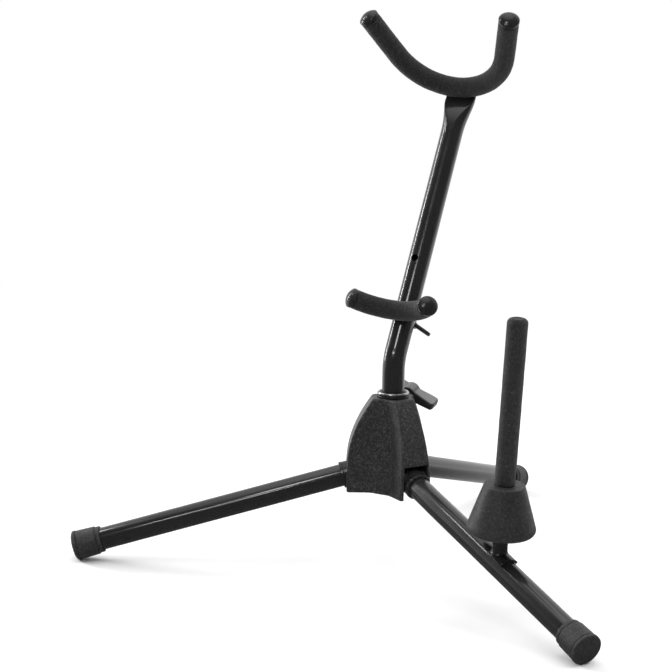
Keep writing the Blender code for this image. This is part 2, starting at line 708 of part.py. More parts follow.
def foot_profile():
    """Cup over the tube's end: lip, groove, widening wall, ridge and a low dome."""
    mouth = LEG_LENGTH - FOOT_LENGTH
    bottom = LEG_LENGTH - FOOT_END_THICKNESS
    lip_end = mouth + FOOT_LIP_LENGTH
    half_groove = FOOT_LIP_GROOVE_HALF_LENGTH
    shoulder = FOOT_DOME_SHOULDER
    outer = [(0.0, LEG_LENGTH + FOOT_DOME_RISE),
             (FOOT_RADIUS * shoulder, LEG_LENGTH + FOOT_DOME_RISE * (1.0 - shoulder ** 2)),
             (FOOT_RADIUS - FOOT_EDGE_EASE, LEG_LENGTH),
             (FOOT_RADIUS, LEG_LENGTH - FOOT_EDGE_EASE),
             (FOOT_RADIUS, bottom),
             (FOOT_RADIUS - FOOT_GROOVE_DEPTH, bottom - FOOT_END_GROOVE_LENGTH),
             (FOOT_MOUTH_RADIUS, lip_end + 2.0 * half_groove),
             (FOOT_MOUTH_RADIUS - FOOT_GROOVE_DEPTH, lip_end + half_groove),
             (FOOT_MOUTH_RADIUS, lip_end),
             (FOOT_MOUTH_RADIUS, mouth + FOOT_LIP_EASE),
             (FOOT_MOUTH_RADIUS - FOOT_LIP_EASE, mouth)]
    inner = [(INSERTED_RADIUS, mouth), (INSERTED_RADIUS, bottom), (0.0, bottom)]
    return outer + inner


def build_foot(side, pivot, floor):
    mesh = turned_mesh(side + "_foot", foot_profile(), SEGMENTS_MEDIUM, closed=False)
    foot = new_part(side + "_foot", mesh, "rubber", pivot, along_x())
    combine(foot, "DIFFERENCE", [floor])
    return bake(foot)


# ---------------------------------------------------------------- upright

def upright_path():
    """Stations up the tube: place of the centre, lean there, and how far it is pressed flat."""
    half_bend = UPRIGHT_BEND_RADIUS * math.tan(UPRIGHT_LEAN / 2.0)
    bend_start = UPRIGHT_BEND_HEIGHT - half_bend
    stations = [(Vector((0.0, 0.0, UPRIGHT_BOTTOM)), 0.0, 0.0)]
    bend_steps = 6
    for i in range(bend_steps + 1):
        angle = UPRIGHT_LEAN * i / bend_steps
        y = UPRIGHT_BEND_RADIUS * (1.0 - math.cos(angle))
        z = bend_start + UPRIGHT_BEND_RADIUS * math.sin(angle)
        stations.append((Vector((0.0, y, z)), angle, 0.0))
    direction = Vector((0.0, math.sin(UPRIGHT_LEAN), math.cos(UPRIGHT_LEAN)))
    corner = Vector((0.0, 0.0, UPRIGHT_BEND_HEIGHT))
    press_steps = 6
    for i in range(press_steps + 1):
        share = i / press_steps
        along = PRESS_START_ALONG + (PRESS_END_ALONG - PRESS_START_ALONG) * share
        stations.append((corner + direction * along, UPRIGHT_LEAN, share))
    stations.append((corner + direction * UPRIGHT_TOP_ALONG, UPRIGHT_LEAN, 1.0))
    return stations


def upright_ring(centre, lean, pressed, inside):
    """One station's outline: a circle that is pressed into a flat blade from the front."""
    radius = TUBE_RADIUS - (TUBE_WALL if inside else 0.0)
    flat_half_width = BLADE_HALF_WIDTH - (TUBE_WALL if inside else 0.0)
    flat_half_depth = BLADE_INNER_HALF_THICKNESS if inside else BLADE_HALF_THICKNESS
    half_width = radius + (flat_half_width - radius) * pressed ** BLADE_WIDENING_POWER
    half_depth = radius + (flat_half_depth - radius) * pressed
    back = Vector((0.0, math.cos(lean), -math.sin(lean)))
    side = Vector((1.0, 0.0, 0.0))
    middle = centre + back * (BLADE_SETBACK * pressed)
    ring = []
    for i in range(SEGMENTS_MEDIUM):
        angle = math.tau * i / SEGMENTS_MEDIUM
        ring.append(middle + side * (half_width * math.cos(angle))
                    + back * (half_depth * math.sin(angle)))
    return ring


def build_main_tube(stand, lean):
    stations = upright_path()
    outer = [upright_ring(*station, inside=False) for station in stations]
    inner = [upright_ring(*station, inside=True) for station in reversed(stations)]
    mesh = loft_mesh("main_tube", outer + inner, closed_ends=False)
    tube = new_part("main_tube", mesh, "gloss_paint", stand)
    for label, along in (("bolt_hole", BOLT_ALONG), ("spare_hole", SPARE_HOLE_ALONG)):
        hole = cylinder_mesh(label, BOLT_HOLE_RADIUS, -TUBE_RADIUS - CUT_OVERRUN,
                             TUBE_RADIUS + CUT_OVERRUN, SEGMENTS_MEDIUM, "Y")
        combine(tube, "DIFFERENCE",
                [new_cutter(label, hole, lean, Matrix.Translation((0.0, 0.0, along)))])
    return bake(tube)


# ---------------------------------------------------------------- yokes

def yoke_path(arc_radius, half_angle, arm_length, step):
    """Centre line of a yoke in its own XZ plane, from the left end to the right end."""
    arc_steps = max(8, round(2.0 * half_angle * arc_radius / step))
    points = []
    for i in range(arc_steps + 1):
        angle = half_angle * (2.0 * i / arc_steps - 1.0)
        points.append(Vector((arc_radius * math.sin(angle), 0.0,
                              arc_radius * (1.0 - math.cos(angle)))))
    if arm_length:
        reach = Vector((math.cos(half_angle), 0.0, math.sin(half_angle)))
        right_end = points[-1] + reach * arm_length
        left_end = points[0] + Vector((-reach.x, 0.0, reach.z)) * arm_length
        points = [left_end] + points + [right_end]
    return points


def moved_end(points, change):
    """The path with both ends moved outwards along their last stretch by change."""
    moved = [point.copy() for point in points]
    moved[0] += (points[0] - points[1]).normalized() * change
    moved[-1] += (points[-1] - points[-2]).normalized() * change
    return moved


def build_rod(name, frame, path):
    mesh = curve_mesh(name, moved_end(path, ROD_IN_CAP), ROD_RADIUS, capped=True, resolution=2)
    return bake(new_part(name, mesh, "gloss_paint", frame))


def build_sleeve(name, frame, path, radius, tools):
    """Foam tube over the rod, from cap to cap."""
    skin = curve_mesh(name, moved_end(path, -CAP_SKIRT - FIT_GAP), radius, capped=False,
                      resolution=4)
    sleeve = new_part(name, skin, "foam", frame)
    wall = sleeve.modifiers.new("wall", "SOLIDIFY")
    wall.thickness = radius - FOAM_BORE_RADIUS
    wall.offset = -1.0
    wall.use_even_offset = True
    combine(sleeve, "DIFFERENCE", tools)
    return bake(sleeve)


def build_yoke_caps(name, frame, path, radius):
    """Rounded plastic end caps, each with a blind bore for the rod's end."""
    outer = radius + CAP_EXTRA_RADIUS
    bore = ROD_RADIUS + FIT_GAP
    dome = arc_points((0.0, 0.0), outer, 90.0, 0.0, 5)
    profile = [(x, z * CAP_DOME_SHARE) for x, z in dome]
    profile[0] = (0.0, outer * CAP_DOME_SHARE)
    profile += [(outer, -CAP_SKIRT), (bore, -CAP_SKIRT), (bore, ROD_IN_CAP + FIT_GAP),
                (0.0, ROD_IN_CAP + FIT_GAP)]
    caps = []
    for label, end, inner in (("left", path[0], path[1]), ("right", path[-1], path[-2])):
        mesh = turned_mesh(f"{name}_cap_{label}", profile, SEGMENTS_SMALL, closed=False)
        outward = (end - inner).to_track_quat("Z", "Y").to_matrix().to_4x4()
        cap = new_part(f"{name}_cap_{label}", mesh, "black_plastic", frame,
                       Matrix.Translation(end) @ outward)
        caps.append(bake(cap))
    return caps


def build_upper_yoke(lean):
    frame = new_empty("upper_yoke_frame", lean,
                      Matrix.Translation((0.0, -UPPER_YOKE_FORWARD, UPPER_YOKE_ALONG))
                      @ rotation(UPPER_YOKE_TIP_FORWARD, "X"))
    arc_height = UPPER_ARC_RADIUS * (1.0 - math.cos(UPPER_ARC_HALF_ANGLE))
    arm_length = (UPPER_YOKE_HEIGHT - arc_height) / math.sin(UPPER_ARC_HALF_ANGLE)
    path = yoke_path(UPPER_ARC_RADIUS, UPPER_ARC_HALF_ANGLE, arm_length, UPPER_PATH_STEP)
    slit = box_mesh("sleeve_slit",
                    (-BLADE_HALF_WIDTH - FIT_GAP, BLADE_SETBACK - BLADE_HALF_THICKNESS - FIT_GAP,
                     UPPER_YOKE_ALONG - UPPER_SLEEVE_RADIUS - CUT_OVERRUN),
                    (BLADE_HALF_WIDTH + FIT_GAP, UPPER_SLEEVE_RADIUS,
                     UPRIGHT_TOP_ALONG + FIT_GAP))
    build_rod("upper_yoke_rod", frame, path)
    build_sleeve("upper_yoke_sleeve", frame, path, UPPER_SLEEVE_RADIUS,
                 [new_cutter("sleeve_slit", slit, lean)])
    build_yoke_caps("upper_yoke", frame, path, UPPER_SLEEVE_RADIUS)


def build_lower_yoke(lean):
    frame = new_empty("lower_yoke_frame", lean,
                      Matrix.Translation((0.0, -LOWER_YOKE_FORWARD, BOLT_ALONG))
                      @ rotation(math.radians(90.0) - LOWER_YOKE_LIFT, "X"))
    path = yoke_path(LOWER_ARC_RADIUS, LOWER_ARC_HALF_ANGLE, 0.0, LOWER_PATH_STEP)
    seat_half = 3.0 * LOWER_SLEEVE_RADIUS
    seat = cylinder_mesh("sleeve_seat", INSERTED_RADIUS, BOLT_ALONG - seat_half,
                         BOLT_ALONG + seat_half, SEGMENTS_LARGE, "Z")
    stud_way = cylinder_mesh("stud_way", STUD_RADIUS + FIT_GAP,
                             -LOWER_YOKE_FORWARD, 0.0, SEGMENTS_SMALL, "Y")
    build_rod("lower_yoke_rod", frame, path)
    build_sleeve("lower_yoke_sleeve", frame, path, LOWER_SLEEVE_RADIUS,
                 [new_cutter("sleeve_seat", seat, lean),
                  new_cutter("stud_way", stud_way, lean,
                             Matrix.Translation((0.0, 0.0, BOLT_ALONG)))])
    build_yoke_caps("lower_yoke", frame, path, LOWER_SLEEVE_RADIUS)


def build_lower_stud(lean):
    """Threaded stud from the lower yoke's rod through the tube to the wing nut."""
    front = -LOWER_YOKE_FORWARD + ROD_RADIUS + FIT_GAP
    ease = 0.0006
    profile = [(0.0, STUD_TAIL), (STUD_RADIUS - ease, STUD_TAIL), (STUD_RADIUS, STUD_TAIL - ease),
               (STUD_RADIUS, front), (0.0, front)]
    mesh = turned_mesh("lower_yoke_stud", profile, SEGMENTS_SMALL, closed=False)
    return bake(new_part("lower_yoke_stud", mesh, "zinc_steel", lean,
                         along_y(Matrix.Translation((0.0, 0.0, BOLT_ALONG)))))


def build_wing_nut(nut_frame):
    low = TUBE_RADIUS + FIT_GAP
    high = low + NUT_BOSS_LENGTH
    inner = STUD_RADIUS + THREAD_CLEARANCE
    profile = [(inner, high), (NUT_BOSS_RADIUS - NUT_BOSS_TAPER, high), (NUT_BOSS_RADIUS, low),
               (inner, low)]
    mesh = turned_mesh("lower_yoke_wing_nut", profile, SEGMENTS_MEDIUM, closed=True)
    nut = new_part("lower_yoke_wing_nut", mesh, "black_plastic", nut_frame, along_y())
    tip_low = low + NUT_WING_TIP_SETBACK
    outline = wing_outline((NUT_BOSS_RADIUS - NUT_WING_INSET, low + NUT_WING_ROOT_SETBACK,
                            high - NUT_WING_ROOT_DROP),
                           (NUT_WING_SPAN, tip_low, tip_low + NUT_WING_SWEEP),
                           NUT_WING_SWEEP / 2.0)
    add_wings("wing_nut", nut, nut_frame, rotation(NUT_TURN, "Y"), outline,
              NUT_WING_THICKNESS, NUT_WING_EDGE, root_growth=0.0)
    return bake(nut)


# ---------------------------------------------------------------- peg

def build_peg_boss(pivot, matrix):
    """Stem and curved saddle that stand on the right leg."""
    stem = cylinder_mesh("peg_boss", BOSS_STEM_RADIUS, STEM_BOTTOM, BOSS_TOP, SEGMENTS_MEDIUM)
    boss = new_part("peg_boss", stem, "black_plastic", pivot, matrix)
    crossing = (matrix @ Vector((0.0, 0.0, 0.0))).x
    outer = INSERTED_RADIUS + SADDLE_THICKNESS
    saddle_middle = crossing + math.tan(LEG_SLOPE + PEG_LEAN) * outer
    steps = 10
    arcs = []
    for radius, sign in ((outer, 1.0), (INSERTED_RADIUS, -1.0)):
        for i in range(steps + 1):
            angle = sign * SADDLE_HALF_ANGLE * (2.0 * i / steps - 1.0)
            arcs.append((radius * math.sin(angle), radius * math.cos(angle)))
    rings = [[(x, y, z) for y, z in arcs]
             for x in (saddle_middle - SADDLE_HALF_LENGTH, saddle_middle + SADDLE_HALF_LENGTH)]
    saddle = new_cutter("peg_saddle", loft_mesh("peg_saddle", rings, closed_ends=True), pivot)
    combine(boss, "UNION", [saddle])
    way_half = 4.0 * SADDLE_HALF_LENGTH
    tube_way = cylinder_mesh("tube_way", INSERTED_RADIUS, crossing - way_half,
                             crossing + way_half, SEGMENTS_LARGE, "X")
    thread = cylinder_mesh("boss_thread", SPINDLE_RADIUS + THREAD_CLEARANCE,
                           SPINDLE_BOTTOM - FIT_GAP, BOSS_TOP + CUT_OVERRUN, SEGMENTS_SMALL)
    combine(boss, "DIFFERENCE", [new_cutter("tube_way", tube_way, pivot),
                                 new_cutter("boss_thread", thread, pivot, matrix)])
    return bake(boss)


def build_peg_spindle(peg):
    profile = [(0.0, SPINDLE_TOP), (SPINDLE_RADIUS, SPINDLE_TOP),
               (SPINDLE_RADIUS, SPINDLE_BOTTOM), (0.0, SPINDLE_BOTTOM)]
    mesh = turned_mesh("peg_spindle", profile, SEGMENTS_SMALL, closed=False)
    return bake(new_part("peg_spindle", mesh, "zinc_steel", peg))


def build_peg_cone(peg):
    """Hollow cone that an instrument's bell stands on, open below round a middle tube."""
    bore = SPINDLE_RADIUS + FIT_GAP
    rim_z = CONE_BOTTOM + CONE_EDGE_RADIUS
    rim_x = CONE_WIDEST_RADIUS - CONE_EDGE_RADIUS
    profile = [(bore, CONE_TOP), (CONE_TOP_RADIUS - CONE_TOP_EASE, CONE_TOP),
               (CONE_TOP_RADIUS, CONE_TOP - CONE_TOP_EASE)]
    profile += arc_points((rim_x, rim_z), CONE_EDGE_RADIUS, CONE_FLANK_ANGLE, -90.0, 6)
    profile += [(rim_x - CONE_LIP_WIDTH, CONE_BOTTOM + CONE_LIP_HEIGHT),
                (CONE_TOP_RADIUS - CONE_WALL, CONE_TOP - CONE_WALL),
                (CONE_HUB_RADIUS, CONE_TOP - CONE_WALL), (CONE_HUB_RADIUS, CONE_BOTTOM),
                (bore, CONE_BOTTOM)]
    mesh = turned_mesh("peg_cone", profile, SEGMENTS_LARGE, closed=True)
    return bake(new_part("peg_cone", mesh, "rubber", peg))


def build_peg_core(peg):
    low = CONE_TOP + FIT_GAP
    bore = SPINDLE_RADIUS + FIT_GAP
    profile = [(bore, CORE_TOP), (CORE_RADIUS - CORE_EASE, CORE_TOP),
               (CORE_RADIUS, CORE_TOP - CORE_EASE), (CORE_RADIUS, low), (bore, low)]
    mesh = turned_mesh("peg_core", profile, SEGMENTS_MEDIUM, closed=True)
    return bake(new_part("peg_core", mesh, "black_plastic", peg))


def build_peg_cover(peg):
    low = CONE_TOP + FIT_GAP
    bore = CORE_RADIUS + FIT_GAP
    profile = [(0.0, COVER_TOP)]
    for i in range(1, COVER_DOME_STEPS + 1):
        angle = math.radians(90.0) * (1.0 - i / COVER_DOME_STEPS)
        profile.append((COVER_RADIUS * math.cos(angle),
                        COVER_TOP - COVER_DOME_RISE * (1.0 - math.sin(angle))))
    profile += [(COVER_RADIUS, low), (bore, low), (bore, CORE_TOP + FIT_GAP),
                (0.0, CORE_TOP + FIT_GAP)]
    mesh = turned_mesh("peg_cover", profile, SEGMENTS_MEDIUM, closed=False)
    return bake(new_part("peg_cover", mesh, "felt", peg))


# ---------------------------------------------------------------- assembly

def centre_footprint(stand):
    """Moves the whole stand so that the middle of its footprint is the origin."""
    bpy.context.view_layer.update()
    depths = [(part.matrix_world @ vertex.co).y
              for part in PARTS.objects if part.type == "MESH" for vertex in part.data.vertices]
    stand.location.y -= (min(depths) + max(depths)) / 2.0
    bpy.context.view_layer.update()


def build():
    stand = new_empty("stand_frame")
    leg_frames = {side: new_empty(side + "_leg_frame", stand, leg_frame_matrix(side))
                  for side in LEG_AZIMUTHS}
    clamp = new_empty("clamp_axis", stand, clamp_matrix())
    swivel = new_empty("swivel_axis", stand)
    lean = new_empty("upright_lean", stand, lean_matrix())
    beyond = 2.0 * FOOT_REACH
    floor = new_cutter("floor", box_mesh("floor", (-beyond, -beyond, -FOOT_RADIUS),
                                         (beyond, beyond, 0.0)))

    build_housing(stand, leg_frames, clamp)
    build_bush(swivel)
    build_collar_ring(swivel)
    build_clamp_insert(clamp)
    turning = new_empty("clamp_screw_axis", clamp)
    build_clamp_screw(turning)
    build_clamp_knob(turning)

    for side, frame in leg_frames.items():
        build_pivot_pin(side, frame)
        pivot = new_empty(side + "_leg_pivot", frame, pivot_matrix())
        build_knuckle(side, pivot)
        build_leg_tube(side, pivot)
        build_foot(side, pivot, floor)
        if side == "right":
            build_peg_boss(pivot, peg_matrix())
            peg = new_empty("peg_axis", pivot, peg_matrix())
            build_peg_spindle(peg)
            build_peg_cone(peg)
            build_peg_core(peg)
            build_peg_cover(peg)

    build_main_tube(stand, lean)
    build_upper_yoke(lean)
    build_lower_yoke(lean)
    build_lower_stud(lean)
    nut_frame = new_empty("wing_nut_axis", lean, Matrix.Translation((0.0, 0.0, BOLT_ALONG)))
    build_wing_nut(nut_frame)
    centre_footprint(stand)


build()
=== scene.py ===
"""Looks for a folding saxophone stand: fine surfaces, materials, light and camera.

Metres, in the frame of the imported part: +Z up, +Y towards the rear foot, and the floor at z = 0.
"""

import json
import math

import bmesh
import bpy
from mathutils import Matrix, Vector, noise


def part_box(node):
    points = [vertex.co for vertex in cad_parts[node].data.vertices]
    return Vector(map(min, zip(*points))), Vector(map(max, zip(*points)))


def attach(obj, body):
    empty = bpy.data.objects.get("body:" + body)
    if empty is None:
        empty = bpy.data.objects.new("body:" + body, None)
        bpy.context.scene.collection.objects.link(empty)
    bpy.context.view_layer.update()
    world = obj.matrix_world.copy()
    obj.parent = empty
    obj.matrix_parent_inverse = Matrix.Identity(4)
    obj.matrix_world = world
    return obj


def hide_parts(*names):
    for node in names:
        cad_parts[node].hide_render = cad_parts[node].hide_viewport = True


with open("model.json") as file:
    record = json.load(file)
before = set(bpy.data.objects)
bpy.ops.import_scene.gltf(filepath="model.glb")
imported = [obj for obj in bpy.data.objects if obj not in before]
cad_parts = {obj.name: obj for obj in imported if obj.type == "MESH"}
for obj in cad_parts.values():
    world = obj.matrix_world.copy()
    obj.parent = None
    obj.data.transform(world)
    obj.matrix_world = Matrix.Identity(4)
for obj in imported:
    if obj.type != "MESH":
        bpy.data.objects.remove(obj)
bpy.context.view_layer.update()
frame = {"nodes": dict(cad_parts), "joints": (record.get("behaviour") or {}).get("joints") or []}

UP = Vector((0.0, 0.0, 1.0))
SIDEWAYS = Vector((1.0, 0.0, 0.0))
JOINTS = {joint["name"]: joint for joint in frame["joints"]}

# Fits and tubes
FIT_GAP = 0.0003
PIN_CLEARANCE = 0.0001
THREAD_CLEARANCE = 0.0002
CUT_OVERRUN = 0.004
TUBE_RADIUS = 0.010
TUBE_WALL = 0.0012
INSERTED_RADIUS = TUBE_RADIUS + FIT_GAP

# Legs, along +X from their pivots
LEG_SLOPE = math.radians(16.06)
LEG_LENGTH = 0.2642
LEG_TUBE_START = 0.0063
KNUCKLE_RADIUS = 0.0116
KNUCKLE_EYE_RADIUS = 0.0108
KNUCKLE_LENGTH = 0.0155
BEAD_HEIGHT = 0.0003
BEAD_LENGTH = 0.0026
BEAD_SLOPE = 0.0004
PIN_RADIUS = 0.003

# Rubber feet
FOOT_LENGTH = 0.0258
FOOT_RADIUS = 0.0135
FOOT_MOUTH_RADIUS = 0.0119
FOOT_END_THICKNESS = 0.004
FOOT_DOME_RISE = 0.0012

# Hub housing
HUB_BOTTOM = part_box("hub_housing")[0].z
HUB_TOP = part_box("hub_housing")[1].z
HUB_SHOULDER = 0.092
LOBE_TURNS = (math.radians(210.0), math.radians(330.0), math.radians(90.0))
LOBE_REACH = 0.0402
LOBE_REACH_LOSS = 0.555
LOBE_HALF_WIDTH = 0.0156
LOBE_TOP_HALF_WIDTH = 0.0105
LOBE_NARROWING_POWER = 0.7
LOBE_CORNER_RADIUS = 0.0017
PANEL_BOTTOM_REACH = 0.0235
PANEL_TOP_REACH = 0.0162
PANEL_FOLD_SHARE = 0.36
PANEL_FOLD_RADIUS = 0.0055
HUB_EDGE_RADIUS = 0.0012
SLOT_INNER_REACH = 0.0168
SLOT_HALF_WIDTH = 0.0120
SLOT_ROOF = 0.0985
SLOT_MOUTH_EASE = 0.0006
PIN_POCKET_DEPTH = 0.0017
SOCKET_RADIUS = 0.0128
SOCKET_FLOOR = 0.0775

# Bush, ring and clamp
BUSH_FLANGE_RADIUS = 0.0142
BUSH_FLANGE_THICKNESS = 0.0018
BUSH_NECK_RADIUS = 0.0116
BUSH_TOP = 0.1588
RING_MIDDLE_RADIUS = 0.0130
RING_BAR_RADIUS = 0.0012
RING_HEIGHT = 0.1572
RING_FLAT = RING_BAR_RADIUS * 0.82
CLAMP_TURN = math.radians(25.0)
CLAMP_SCREW_RADIUS = 0.0029
CLAMP_SCREW_LENGTH = 0.0225
CLAMP_INSERT_RADIUS = 0.0038
CLAMP_INSERT_START = 0.0018
CLAMP_NECK_RADIUS = 0.0045
CLAMP_NECK_START = 0.0112
CLAMP_BOSS_RADIUS = 0.0075
CLAMP_BOSS_START = 0.0145
CLAMP_BOSS_LENGTH = 0.0130
CLAMP_BOSS_DOME = 0.0006
CLAMP_WING_SPAN = 0.0258
CLAMP_WING_THICKNESS = 0.0070
CLAMP_WING_ROOT_GROWTH = 0.7
CLAMP_WING_CORNER = 0.0030
CLAMP_WING_EDGE = 0.0016
CLAMP_WING_ROOT = 0.003
CLAMP_WING_LOW_INSET = 0.0008
CLAMP_WING_HIGH_INSET = 0.0010
CLAMP_WING_SWEEP = 0.002
CLAMP_MELTING = (0.00045, 5)  # voxel size and smoothing passes

# Upright
UPRIGHT_LEAN = math.radians(28.55)
UPRIGHT_BEND_HEIGHT = 0.1860
UPRIGHT_BEND_RADIUS = 0.040
UPRIGHT_BOTTOM = 0.0785
BOLT_ALONG = 0.041
SPARE_HOLE_ALONG = 0.094
BOLT_HOLE_RADIUS = 0.0032
PRESS_START_ALONG = 0.217
PRESS_END_ALONG = 0.255
PRESS_POWER = 1.9
PRESS_WIDENING_POWER = 1.4
PRESS_SOFTNESS = 0.0007
PRESS_SOFTENING = 6.0
UPRIGHT_TOP_ALONG = 0.2668
BLADE_HALF_WIDTH = 0.0146
BLADE_HALF_THICKNESS = 0.0022
BLADE_SETBACK = 0.0016

# Yokes
UPPER_YOKE_ALONG = 0.2642
UPPER_YOKE_FORWARD = 0.0047
UPPER_YOKE_TIP_FORWARD = math.radians(68.55)
UPPER_ARC_RADIUS = 0.0567
UPPER_ARC_HALF_ANGLE = math.radians(70.0)
UPPER_YOKE_HEIGHT = 0.0815
UPPER_SLEEVE_RADIUS = 0.0091
LOWER_YOKE_FORWARD = 0.0166
LOWER_YOKE_LIFT = math.radians(4.0)
LOWER_ARC_RADIUS = 0.047
LOWER_ARC_HALF_ANGLE = math.radians(53.6)
LOWER_SLEEVE_RADIUS = 0.0087
ROD_RADIUS = 0.004
FOAM_BORE_RADIUS = ROD_RADIUS + 2.0 * FIT_GAP
FOAM_SIDES = 64
FOAM_STEP = 0.0011
FOAM_EDGE_STEPS = (0.00015, 0.0003, 0.0005, 0.0008)
FOAM_LUMPS = 0.00016
FOAM_LUMP_SCALE = 90.0
FOAM_ROUND_SCALE = 0.9
FOAM_SKIN = 0.00007
FOAM_SKIN_SCALE = 5.5
FOAM_DRIFT_SCALE = 60.0
FOAM_END_RADIUS = 0.0011
CREASE_SPACING = 0.0052
SEAM_DEPTH = 0.0005
SEAM_HALF_WIDTH = 0.00035
UPPER_SEAM_ALONG = -0.0162
UPPER_CREASE = 0.00008
LOWER_CREASE = 0.00010
UPPER_SEED = 3.0
LOWER_SEED = 11.0
SLIT_GAP = 0.0005
CAP_SKIRT = 0.003
CAP_EXTRA_RADIUS = 0.0002
CAP_DOME_SHARE = 0.42
ROD_IN_CAP = 0.0015

# Stud and wing nut
STUD_RADIUS = 0.0029
STUD_TAIL = 0.0245
NUT_BOSS_RADIUS = 0.0055
NUT_BOSS_LENGTH = 0.0065
NUT_WING_SPAN = 0.0205
NUT_WING_THICKNESS = 0.0034
NUT_WING_SWEEP = 0.009
NUT_WING_CORNER = 0.0042
NUT_BOSS_TAPER = 0.001
NUT_WING_ROOT = 0.0037
NUT_WING_LOW_INSET = 0.0015
NUT_WING_HIGH_INSET = 0.0005
NUT_WING_RISE = 0.0035
NUT_WING_EDGE = 0.0010
NUT_WING_ROOT_GROWTH = 0.2
NUT_MELTING = (0.0003, 4)
NUT_TURN = math.radians(24.0)
THREAD_PITCH = 0.0010
THREAD_DEPTH = 0.0004

# Peg
BOSS_STEM_RADIUS = 0.0065
BOSS_STEM_FLARE = 0.0012
BOSS_STEM_FILLET = 0.004
BOSS_STEM_BOTTOM = 0.004
BOSS_TOP = 0.0274
SADDLE_THICKNESS = 0.0022
SADDLE_HALF_LENGTH = 0.0100
SADDLE_HALF_ANGLE = math.radians(46.0)
SADDLE_OVERLAP = 0.001
SADDLE_GRIP = 0.0001
SADDLE_CUT_REACH = 0.04
SADDLE_MELTING = (0.0004, 4)
SPINDLE_RADIUS = 0.0030
SPINDLE_BOTTOM = 0.0140
CONE_BOTTOM = BOSS_TOP + FIT_GAP
CONE_TOP = 0.0694
CONE_WIDEST_RADIUS = 0.0289
CONE_TOP_RADIUS = 0.0168
CONE_EDGE_RADIUS = 0.0050
CONE_WALL = 0.0030
CONE_HUB_RADIUS = 0.0070
CORE_RADIUS = 0.0069
CORE_TOP = 0.1985
COVER_RADIUS = 0.0085
COVER_TOP = 0.2078
COVER_CORNER_RADIUS = 0.0046
COVER_DIMPLE = 0.0006
FELT_ROUND_SCALE = 1.2
FELT_LUMP_SCALE = 110.0
FELT_LUMPS = 0.00013
FELT_NAP_SCALE = 6.0
FELT_NAP = 0.00006

# Camera
CAMERA_AZIMUTH = math.radians(29.41)
CAMERA_ELEVATION = math.radians(10.90)
CAMERA_ROLL = math.radians(0.81)
CAMERA_DISTANCE = 1.52635
CAMERA_TARGET_HEIGHT = 0.2072
CAMERA_TARGET_OFFSET = -0.0512
CAMERA_SENSOR = 36.0
CAMERA_LENS = 92.96

# Finish: how pale the painted top light on the knob and the wing nut is
KNOB_PAINTED_TOP_LIGHT = 0.24
NUT_PAINTED_TOP_LIGHT = 0.08

# Backdrop
BACKDROP_BRIGHT = 1.0
BACKDROP_DIM = 0.55
WALL_START = -0.55           # how far a direction points at the camera, from -1 to 1
WALL_END = 0.25
WALL_BRIGHT = 0.80
WALL_DIM = 0.10
ZENITH_START = 0.80          # how far a direction points up, from -1 to 1
ZENITH_END = 0.98
ZENITH_BRIGHT = 1.1
FLOOR_SIZE = 30.0
FLOOR_DIM_START = -0.30
REFLECTED_FLOOR_BEHIND = 0.95
REFLECTED_FLOOR_FRONT = 0.12
FLOOR_FADE_START = 0.45
FLOOR_FADE_END = 1.60
LAMP_TARGET = Vector((0.0, 0.0, 0.2))

ROUND = 96                   # facets round a large turned piece
ROUND_SMALL = 48
HERE = Matrix.Identity(4)
SMOOTH_ANGLE = math.radians(32.0)


# ---- places

def axes_matrix(origin, x_axis, y_axis):
    """A frame from its origin and two square axes."""
    x_axis = x_axis.normalized()
    y_axis = y_axis.normalized()
    turn = Matrix((x_axis, y_axis, x_axis.cross(y_axis))).transposed()
    return Matrix.Translation(origin) @ turn.to_4x4()


def joint_point(name):
    return Vector(JOINTS[name]["pos_m"])


def joint_axis(name):
    return Vector(JOINTS[name]["axis"]).normalized()


def leg_matrix(side):
    """A leg's pivot, +X down the leg and +Y along the pivot pin."""
    across = joint_axis(side + "_leg_fold")
    outward = across.cross(UP)
    along = outward * math.cos(LEG_SLOPE) - UP * math.sin(LEG_SLOPE)
    return axes_matrix(joint_point(side + "_leg_fold"), along, across)


HUB_FRAME = Matrix.Translation((0.0, joint_point("upright_turn").y, 0.0))
CLAMP_FRAME = axes_matrix(joint_point("clamp_turn"), SIDEWAYS, joint_axis("clamp_turn"))
BOLT_FRAME = axes_matrix(joint_point("yoke_nut_turn"), SIDEWAYS, joint_axis("yoke_nut_turn"))
LEAN_FRAME = BOLT_FRAME @ Matrix.Translation((0.0, 0.0, -BOLT_ALONG))
PEG_AXIS = joint_axis("peg_unscrew")
PEG_ACROSS = joint_axis("right_leg_fold")
PEG_FRAME = axes_matrix(joint_point("peg_unscrew"), PEG_ACROSS.cross(PEG_AXIS), PEG_ACROSS)
ALONG_X = Matrix.Rotation(math.radians(90.0), 4, "Y")
ALONG_Y = Matrix.Rotation(math.radians(-90.0), 4, "X")
UPPER_FRAME = (LEAN_FRAME @ Matrix.Translation((0.0, -UPPER_YOKE_FORWARD, UPPER_YOKE_ALONG))
               @ Matrix.Rotation(UPPER_YOKE_TIP_FORWARD, 4, "X"))
LOWER_FRAME = (LEAN_FRAME @ Matrix.Translation((0.0, -LOWER_YOKE_FORWARD, BOLT_ALONG))
               @ Matrix.Rotation(math.radians(90.0) - LOWER_YOKE_LIFT, 4, "X"))


# ---- meshes

def finished(bm, name):
    """Turns a bmesh into a mesh, shaded smooth up to its sharp edges."""
    bmesh.ops.recalc_face_normals(bm, faces=bm.faces)
    mesh = bpy.data.meshes.new(name)
    bm.to_mesh(mesh)
    bm.free()
    return smoothed(mesh)


def smoothed(mesh):
    mesh.shade_smooth()
    mesh.set_sharp_from_angle(angle=SMOOTH_ANGLE)
    return mesh


def evenly(low, high, count):
    """Values from low to high in equal steps, with both ends."""
    return [low + (high - low) * k / count for k in range(count + 1)]


